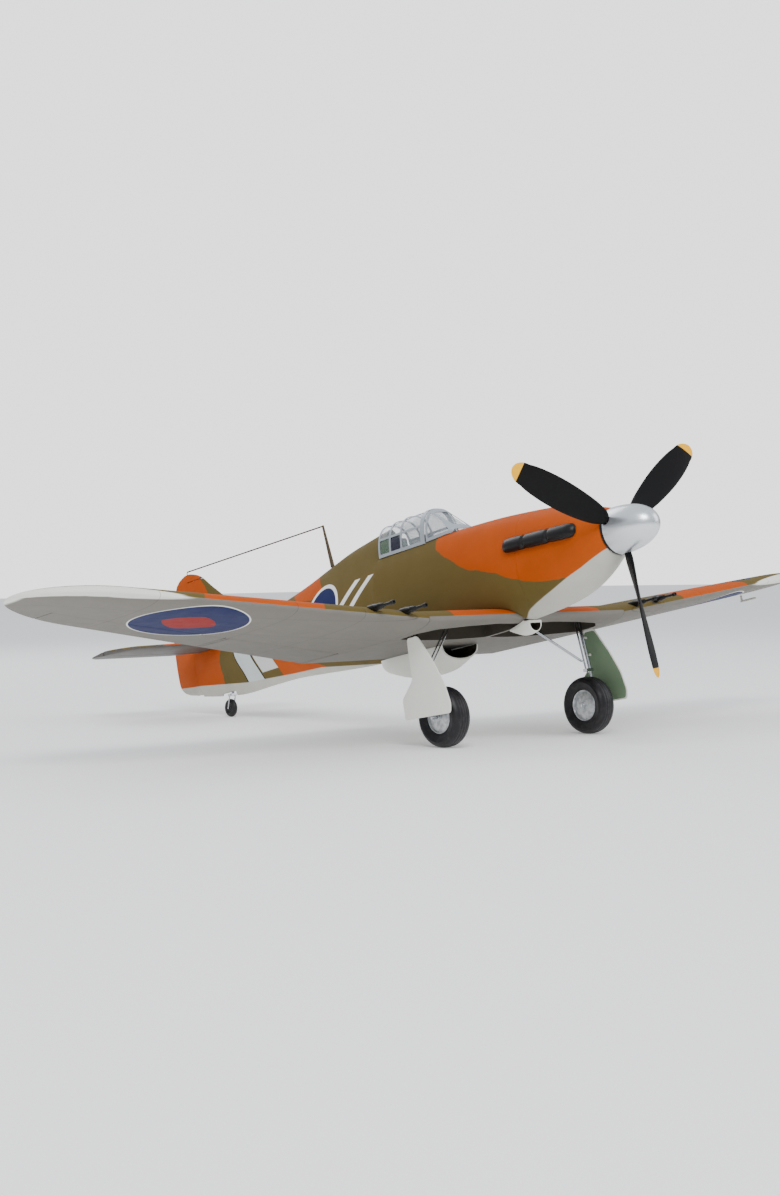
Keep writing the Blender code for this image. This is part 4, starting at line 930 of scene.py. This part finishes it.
def make_tail():
    fin_rings = [fin_ring(40.0, spine)] + [fin_ring(z) for z in [60.0] + spread(66.0, 143.6, 6.0)]
    fit("fin", cut(loft("fin", fin_rings), stern_hollow(0.0, 160.0)), ["camouflage"])
    rows = [(z, smooth_between(RUDDER_PLAN, z)[0]) for z in spread(-63.0, 143.6, 5.0)]
    rings = [rudder_ring(z, trail) for z, trail in rows + [(145.0, 1180.0)]]
    horn = [(z, *smooth_between(HORN_PLAN, z))
            for z in (145.0, 148.0, 151.0, 153.5, 155.5, 157.0, 158.3, 159.2)]
    rings += [rudder_ring(z, trail, lead) for z, lead, trail in horn]
    post = rod("aerial_post", (0, STERN_Y, 155), (0, STERN_Y, 163.6), 0.8, 12)
    fit("rudder", join(loft("rudder", rings), post), ["camouflage"])

    outer = [205.0, 206.6, 207.6, 208.0]
    half = spread(0.0, 165.0, 16.0)[1:] + spread(165.0, 203.0, 4.0)[1:] + outer
    stations = [-x for x in half[::-1]] + [0.0] + half
    rings = [[(x, y, z) for _, y, z in tailplane_ring(abs(x))] for x in stations]
    fit("tailplane", loft("tailplane", rings), ["wing_top", "tail_shade_grey"], faces_up)
    halves = []
    for _, side in SIDES:
        stations = [10.0, 34.0] + spread(50.0, 185.0, 16.0) + spread(185.0, 205.0, 3.0)[1:]
        stations += [207.0, 208.4, 209.0]
        rings = [elevator_ring(x, side) for x in stations]
        rings[0] = [(x, min(y, 1142.0), z) for x, y, z in rings[0]]
        halves.append(loft("elevator_half", rings))
    joiner = rod("joiner", (-14, ELEVATOR_Y, TAILPLANE_Z), (14, ELEVATOR_Y, TAILPLANE_Z), 2.4, 20)
    fit("elevator", join(halves[0], halves[1], joiner), ["wing_top", "tail_shade_grey"], faces_up)


# ---------------------------------------------------------------- propeller
def make_propeller():
    def spinner_radius(share):
        return SPINNER_RADIUS * math.sin(math.pi / 2 * math.sqrt(share))

    shares = [(k / 30) ** 1.7 for k in range(31)]
    outer = [(spinner_radius(t), -SPINNER_LENGTH * t) for t in shares]
    wall = 1.6
    inner = [(r - wall, h) for r, h in outer if r > 8.0]
    profile = outer + inner[::-1] + [(0.0, -SPINNER_LENGTH * 0.1)]
    spinner = turned("spinner", profile, (0, SPINNER_BASE - SPINNER_LENGTH, 0), (0, -1, 0), 96)
    # radius, chord, thickness and pitch of the blade's sections
    table = [(7.0, 9.0, 9.0, 70.0), (31.0, 10.5, 9.0, 64.0), (38.0, 19.0, 8.4, 60.0), (44.0, 24.0, 7.8, 58.0),
             (64.0, 31.0, 6.5, 51.0), (95.0, 35.5, 5.2, 42.0), (130.0, 37.0, 4.4, 34.0),
             (165.0, 33.5, 3.6, 28.5), (188.0, 26.5, 3.0, 25.0), (PROPELLER_RADIUS, 12.0, 1.8, 23.0)]
    tip_start = 186.0
    radii = [7.0, 20.0, 28.0] + spread(32.0, tip_start, 5.0)
    radii += [tip_start + (PROPELLER_RADIUS - tip_start) * math.sin(math.pi / 2 * k / 12)
              for k in range(1, 13)]
    sockets = []
    for number in range(3):
        heading = math.radians(FIRST_BLADE + 120.0 * number)
        out = Vector((math.cos(heading), 0.0, math.sin(heading)))
        across = Vector((-math.sin(heading), 0.0, math.cos(heading)))
        back = Vector((0.0, 1.0, 0.0))
        rings = []
        for radius in radii:
            chord, thickness, pitch = smooth_between(table, radius)
            if radius > tip_start:
                beyond = (radius - tip_start) / (PROPELLER_RADIUS - tip_start)
                round_off = math.sqrt(max(1.0 - beyond ** 2, 0.002))
                chord, thickness = 27.2 * round_off, thickness * max(round_off, 0.3)
            slant = math.radians(pitch)
            along = across * math.cos(slant) + back * math.sin(slant)
            normal = back * math.cos(slant) - across * math.sin(slant)
            centre = Vector((0, PROPELLER_Y, 0)) + out * radius
            angles = [math.tau * k / 28 for k in range(28)]
            rings.append([centre + along * (0.56 * chord * math.cos(a))
                          + normal * (thickness / 2 * math.sin(a)) for a in angles])
        fit(f"propeller_blade_{number + 1}", loft("blade", rings), ["propeller"])
        socket = Vector((0, PROPELLER_Y, 0)) + out * 18
        sockets.append(rod("socket", socket, socket + out * 30, 6.6, 32))
    fit("spinner", cut(spinner, *sockets), ["silver"])


# ---------------------------------------------------------------- canopy
def canopy_ring(y, half, crest, sill, inset):
    """Arch of the canopy from sill to sill, with flat-ish sides and a round top."""
    return [((half - inset) * math.copysign(abs(math.cos(a)) ** 0.72, math.cos(a)), y,
             sill + (crest - inset - sill) * max(math.sin(a), 0.0) ** 0.86) for a in fan(0, 180, 32)]


def hood_arch(y, inset=0.0):
    share = (y - HOOD_FRONT) / (HOOD_REAR - HOOD_FRONT)
    crest = 118.3 + 7.0 * share * (1 - share) - 2.5 * share
    return canopy_ring(y, 35.5, crest, SILL_Z, inset)


def screen_arch(share, inset=0.0):
    """Windscreen arch from its foot on the deck (0) to the hood's front arch (1)."""
    crest = 76.0 + (117.4 - 76.0) * share ** 0.95
    return canopy_ring(381.0 + 53.0 * share, 25.0 + 9.5 * share, crest, 69.5 - 5.0 * share, inset)


def make_canopy():
    ys = spread(HOOD_FRONT, HOOD_REAR, 7.0)
    shares = spread(0.0, 1.0, 0.1)

    def walls(arch, places, outer, inner):
        return loft("arch", [arch(place, outer) + arch(place, inner)[::-1] for place in places])

    fit("hood_glazing", walls(hood_arch, ys, 1.4, 2.4), ["glazing"])
    cage = walls(hood_arch, ys, 0.0, 1.05)
    windows = []
    for start, end in ((446.0, 491.0), (494.5, 518.5), (522.0, 545.5)):
        windows.append(prism("side_window", rectangle(start, end, 68.0, 90.0, 2.0), -60.0, 60.0, "X"))
        windows += [prism("top_window", rectangle(start, end, 93.5, 130.0, 2.0), min(side, 60.0 * side),
                          max(side, 60.0 * side), "X") for _, side in SIDES]
    fit("hood_frame", cut(cage, *windows), ["frame_grey"])
    fit("windscreen_glazing", walls(screen_arch, shares, 2.3, 3.3), ["glazing"])
    screen = walls(screen_arch, shares, 0.0, 1.05)
    pane = rounded([(389, 73.5), (431, 69.5), (431, 110), (408, 93)], 2.0)
    openings = [prism("side", pane, 12.0 * side, 60.0 * side, "X") for _, side in SIDES]
    front = rounded([(-14, 82), (14, 82), (16, 110), (-16, 110)], 2.0)
    openings.append(prism("front", front, 350.0, 428.0, "Y"))
    fit("windscreen_frame", cut(screen, *openings), ["frame_grey"])


# ---------------------------------------------------------------- fittings
def half_round(half, y, roof, low, power, steps):
    """Section of a duct, level at roof and rounded down to low."""
    return [(half * math.cos(a), y, roof - (roof - low) * max(math.sin(a), 0.0) ** power)
            for a in fan(0, 180, steps)]


def make_scoop():
    """Half-round radiator duct under the belly, open at the front and at the back."""
    table = [(431.0, 37.0, -119.0), (464.0, 39.5, -132.5), (512.0, 39.0, -133.0), (550.0, 36.0, -128.0),
             (586.0, 30.0, -117.0)]

    def duct(y, inset=0.0):
        half, low = smooth_between(table, y)
        roof = min(wing_z(0.0, min(y, ROOT_LE + ROOT_CHORD), -1), -93.0) - GAP - 0.3
        return half_round(half - inset, y, roof, low + inset, 0.8, 36)

    rings = [duct(y) + duct(y, 2.2)[::-1] for y in spread(431.0, 586.0, 5.0)]

    def lining(face):
        """1 for the duct's inner faces, which look towards its middle line; they take the dark paint as
        painted shade inside the duct.
        """
        outwards = Vector((face.center.x, 0.0, face.center.z + 0.1))
        return 1 if face.normal.dot(outwards) < 0 and abs(face.normal.y) < 0.6 else 0

    fit("radiator_scoop", loft("scoop", rings), ["cream", "bay"], lining)


def make_intake():
    """Small forward-facing duct on the belly centre line, between the wheel bays."""
    table = [(262.0, 13.0, -106.5), (272.0, 13.5, -109.0), (286.0, 12.5, -108.5), (300.0, 9.5, -103.5),
             (313.0, 4.5, -98.0)]
    rings = []
    for y in [262.0, 269.0] + spread(272.0, 313.0, 3.0):
        half, low = smooth_between(table, y)
        belly = smooth_between(FRONT_STATIONS, y)[7] if y < 270.0 else 0.0
        roof = min(wing_z(0.0, max(y, ROOT_LE + 2.0), -1), belly) - GAP - 0.6
        rings.append(half_round(half, y, roof, low, 0.85, 28))
    roof = rings[0][0][2]
    hollow = [[(x * 0.8, y, roof - 3.8 + (z - roof) * 0.7) for x, _, z in rings[0]] for y in (255.0, 280.0)]
    mouth_low = min(z for _, _, z in hollow[0])

    def lining(face):
        """1 for the faces inside the mouth, which take the dark paint as painted shade."""
        x, y, z = face.center / MM
        near = abs(x) < 10.45 and 262.2 < y < 280.5 and mouth_low - 0.05 < z < roof - 3.5
        inward = face.normal.x * x + face.normal.z * (z - (roof + mouth_low) / 2) < 0
        return 1 if near and (inward or face.normal.y < -0.7) else 0

    fit("carburettor_intake", cut(loft("intake", rings), loft("mouth", hollow)), ["cream", "bay"], lining)


def make_aerials():
    """Taut wire from the mast to the rudder, and the pitot tube with its foot in the port wing."""
    wire = rod("wire", (0, 726.6, 156.0), (0, STERN_Y - 1.4, 164.6), 1.2, 10)
    fit("aerial_wire", wire, ["wire"])
    profile = [(0, 0), (1.9, 0), (1.9, 30.0), (1.4, 31.5), (1.4, 34.0), (0, 34.0)]
    probe = turned("probe", profile, (704, 454, -40), (0, -1, 0), 24)
    fit("pitot_tube", join(probe, rod("foot", (704, 452, -29.5), (704, 452, -41.0), 1.9, 20)), ["grey"])


def hull_x(y, z):
    """Half width of the fuselage at height z."""
    ring = [(p[2], p[0]) for p in section(FRONT_STATIONS, y) if p[0] > -1e-6]
    for (za, xa), (zb, xb) in zip(ring, ring[1:]):
        if zb <= z <= za:
            return xa + (xb - xa) * (z - za) / (zb - za)
    return 0.0


def make_exhausts():
    """Long exhaust shrouds on the sides of the cowl, grooved into three lobes."""
    # y, half height, depth
    lobes = [(115, 4, 1.5), (119, 8.8, 6), (129, 10.5, 9.5), (159, 10.5, 9.5), (162.5, 9.2, 7.2),
             (166, 10.5, 9.5), (206, 10.5, 9.5), (209.5, 9.2, 7.2), (213, 10.5, 9.5), (243, 10.5, 9.5),
             (251, 9, 6.5), (255, 4.5, 1.5)]
    for hand, side in SIDES:
        rings = []
        for y in spread(115.0, 255.0, 1.75):
            half, depth = smooth_between(lobes, y)
            centre = 12.0 + 5.5 * (y - 116) / 140
            bulges = [(centre + half * math.cos(a), math.sin(a)) for a in fan(0, 180, 18)]
            skin_x = [hull_x(y, z) + GAP + 0.5 for z, _ in bulges]
            outer = [(side * (x + depth * max(bulge, 0.0) ** 0.8), y, z)
                     for x, (z, bulge) in zip(skin_x, bulges)]
            rings.append(outer + [(side * skin_x[k], y, bulges[k][0]) for k in (15, 9, 3)])
        fit(f"exhaust_{hand}", loft("exhaust", rings), ["black"])


# ---------------------------------------------------------------- undercarriage
def tyre_profile():
    """Half-round tyre section with a grooved tread and ribs round its sidewalls."""
    bead, crown, half = 24.0, 43.4, MAIN_WIDTH / 2
    middle = 33.0
    points = [(bead, 10.0), (bead + 0.6, 11.6)]
    for k in range(1, 48):
        a = math.pi * (k / 48) - math.pi / 2
        swell = abs(math.cos(a)) ** 0.72
        radius = middle + (crown - middle) * swell
        width = -half * math.copysign(abs(math.sin(a)) ** 0.8, math.sin(a))
        groove = 0.55 if min(abs(abs(width) - g) for g in (0.0, 4.6)) < 0.7 else 0.0
        ridge = 0.35 if 34.5 < radius < 35.6 or 38.0 < radius < 38.9 else 0.0
        points.append((radius - groove, width + math.copysign(ridge, width)))
    return points + [(bead + 0.6, -11.6), (bead, -10.0)]


def make_wheel(side, hand):
    hub = Vector((MAIN_WHEEL.x * side, MAIN_WHEEL.y, MAIN_WHEEL.z))
    fit(f"tyre_{hand}", turned("tyre", tyre_profile(), hub, (1, 0, 0), 96, True), ["rubber"])
    rim = 23.7
    disc = [(2.7, 14.6), (3.8, 14.6), (4.4, 14.1), (4.6, 12.7), (6.6, 12.5), (6.9, 12.0)]
    disc += [(6.9 + 13.9 * k / 8, 11.9 - 2.8 * (k / 8) ** 2) for k in range(1, 9)]
    disc += [(21.1, 9.0), (21.6, 10.4), (22.2, 11.0), (23.0, 11.0), (rim, 10.3)]
    disc += [(r, -h) for r, h in disc[::-1]]
    fit(f"wheel_hub_{hand}", turned("hub", disc, hub, (1, 0, 0), 72, True), ["hub_metal"])


def make_door(side, hand):
    outline = [(342, -97), (319, -97), (294, -136), (276, -172), (269, -201), (272, -214), (370, -210.5),
               (370, -181), (343, -157), (343, -120)]
    inner, outer = 177.6 * side, (177.6 + 1.8) * side
    plate = prism("door", rounded(outline, 5.0), min(inner, outer), max(inner, outer), "X")
    middle = Vector((322.0, -166.0))
    panel = rounded([tuple(middle + (Vector(corner) - middle) * 0.955) for corner in outline], 5.0)
    sides = sorted((inner - 2.0 * side, inner + 0.45 * side))
    plate = cut(plate, prism("panel", panel, *sides, "X"))
    top, foot = (Vector((p.x * side, p.y, p.z)) for p in (LEG_TOP, LEG_FOOT))
    clips = []
    for share in (0.22, 0.42):
        clip = top + (foot - top) * share
        clips.append(rod("clip", clip + Vector(((3.1 + GAP) * side, 0, 0)),
                         (178.6 * side, clip.y, clip.z), 1.8, 16))

    def outside(face):
        recessed = abs(face.center.x / MM) > 177.8
        return 1 if face.normal.x * side < -0.5 and recessed else 0

    fit(f"gear_door_{hand}", join(plate, *clips), ["cream", "green"], outside, bevel=0.3)


def make_tail_wheel():
    half = TAIL_WIDTH / 2
    profile = [(1.7, 3.6), (3.0, 3.6), (4.0, 2.2), (7.6, 2.2), (8.5, 3.4), (10.0, half)]
    for k in range(1, 12):
        a = math.pi * k / 12 - math.pi / 2
        profile.append((11.0 + (TAIL_RADIUS - 11.0) * abs(math.cos(a)) ** 0.8,
                        -half * math.copysign(abs(math.sin(a)) ** 0.8, math.sin(a))))
    profile += [(10.0, -half), (8.5, -3.4), (7.6, -2.2), (4.0, -2.2), (3.0, -3.6), (1.7, -3.6)]
    fit("tailwheel", turned("tailwheel", profile, TAIL_WHEEL, (1, 0, 0), 64, True), ["rubber"])


# ---------------------------------------------------------------- studio
def make_studio():
    """Pale floor, a bright sky and three soft lamps."""
    p = Paint("studio_floor", 0.9)
    p.feed(p.shader, {"Emission Color": WHITE, "Emission Strength": 0.22})
    bpy.ops.mesh.primitive_plane_add(size=60.0, location=(0, 0, 0))
    floor = bpy.context.active_object
    floor.name = "studio_floor"
    floor.data.materials.append(p.finish(tone(246, 246, 245), mottle=0.01, grain=0.0, shine=0.0))
    world = bpy.context.scene.world or bpy.data.worlds.new("studio_sky")
    bpy.context.scene.world = world
    world.use_nodes = True
    sky = Nodes(world.node_tree)
    place = sky.add("ShaderNodeTexCoord").outputs["Generated"]
    up = sky.add("ShaderNodeSeparateXYZ", {0: place}).outputs["Z"]
    ramp = sky.add("ShaderNodeValToRGB", {0: up})
    low, high = ramp.color_ramp.elements
    low.position, high.position = 0.0, 0.55
    low.color, high.color = (0.34, 0.34, 0.35, 1.0), (1.0, 1.05, 1.12, 1.0)
    seen = sky.add("ShaderNodeLightPath").outputs["Is Camera Ray"]
    colour = sky.mix(seen, ramp.outputs[0], (2.4, 2.4, 2.4, 1.0))
    sky.feed(sky.tree.nodes["Background"], {"Color": colour, "Strength": 0.85})
    # place, power and size of each lamp
    lamps = {"key": ((-2.2, -3.2, 3.6), 150.0, 2.0), "fill": ((3.2, -2.4, 2.0), 40.0, 2.6),
             "back": ((0.5, 3.2, 2.8), 45.0, 2.4)}
    for name, (place, power, size) in lamps.items():
        lamp = bpy.data.lights.new(name, "AREA")
        lamp.energy, lamp.size = power, size
        made = bpy.data.objects.new(name, lamp)
        made.location = place
        made.rotation_euler = (Vector((0, 0, 0.25)) - Vector(place)).to_track_quat("-Z", "Y").to_euler()
        bpy.context.scene.collection.objects.link(made)


def make_camera():
    """Low three-quarter view from ahead of the starboard wing tip."""
    place = Vector((-1863.0, -1631.5, -394.0))
    turn = Euler([math.radians(angle) for angle in (97.945, 7.996, -39.018)]).to_matrix().to_4x4()
    lens = bpy.data.cameras.new("camera")
    lens.lens, lens.sensor_width, lens.sensor_fit = 55.17, 36.0, "AUTO"
    lens.clip_end = 100.0
    made = bpy.data.objects.new("camera", lens)
    made.matrix_world = DATUM @ Matrix.Translation(place * MM) @ turn
    bpy.context.scene.collection.objects.link(made)
    bpy.context.scene.camera = made


def finish_kept_nodes():
    for paint, nodes in KEPT_FINISHES.items():
        for node in nodes:
            mesh = frame["nodes"][node].data
            mesh.materials.clear()
            mesh.materials.append(PAINTS[paint])
            mesh.shade_smooth()
            mesh.set_sharp_from_angle(angle=SHARP_ANGLE)


make_camera()
make_studio()
make_cowl()
make_fuselage()
make_centre_section()
for hand, side in SIDES:
    make_wing(side, hand)
    make_cannons(side, hand)
    make_wheel(side, hand)
    make_door(side, hand)
make_tail()
make_tail_wheel()
make_propeller()
make_canopy()
make_scoop()
make_intake()
make_exhausts()
make_aerials()
finish_kept_nodes()
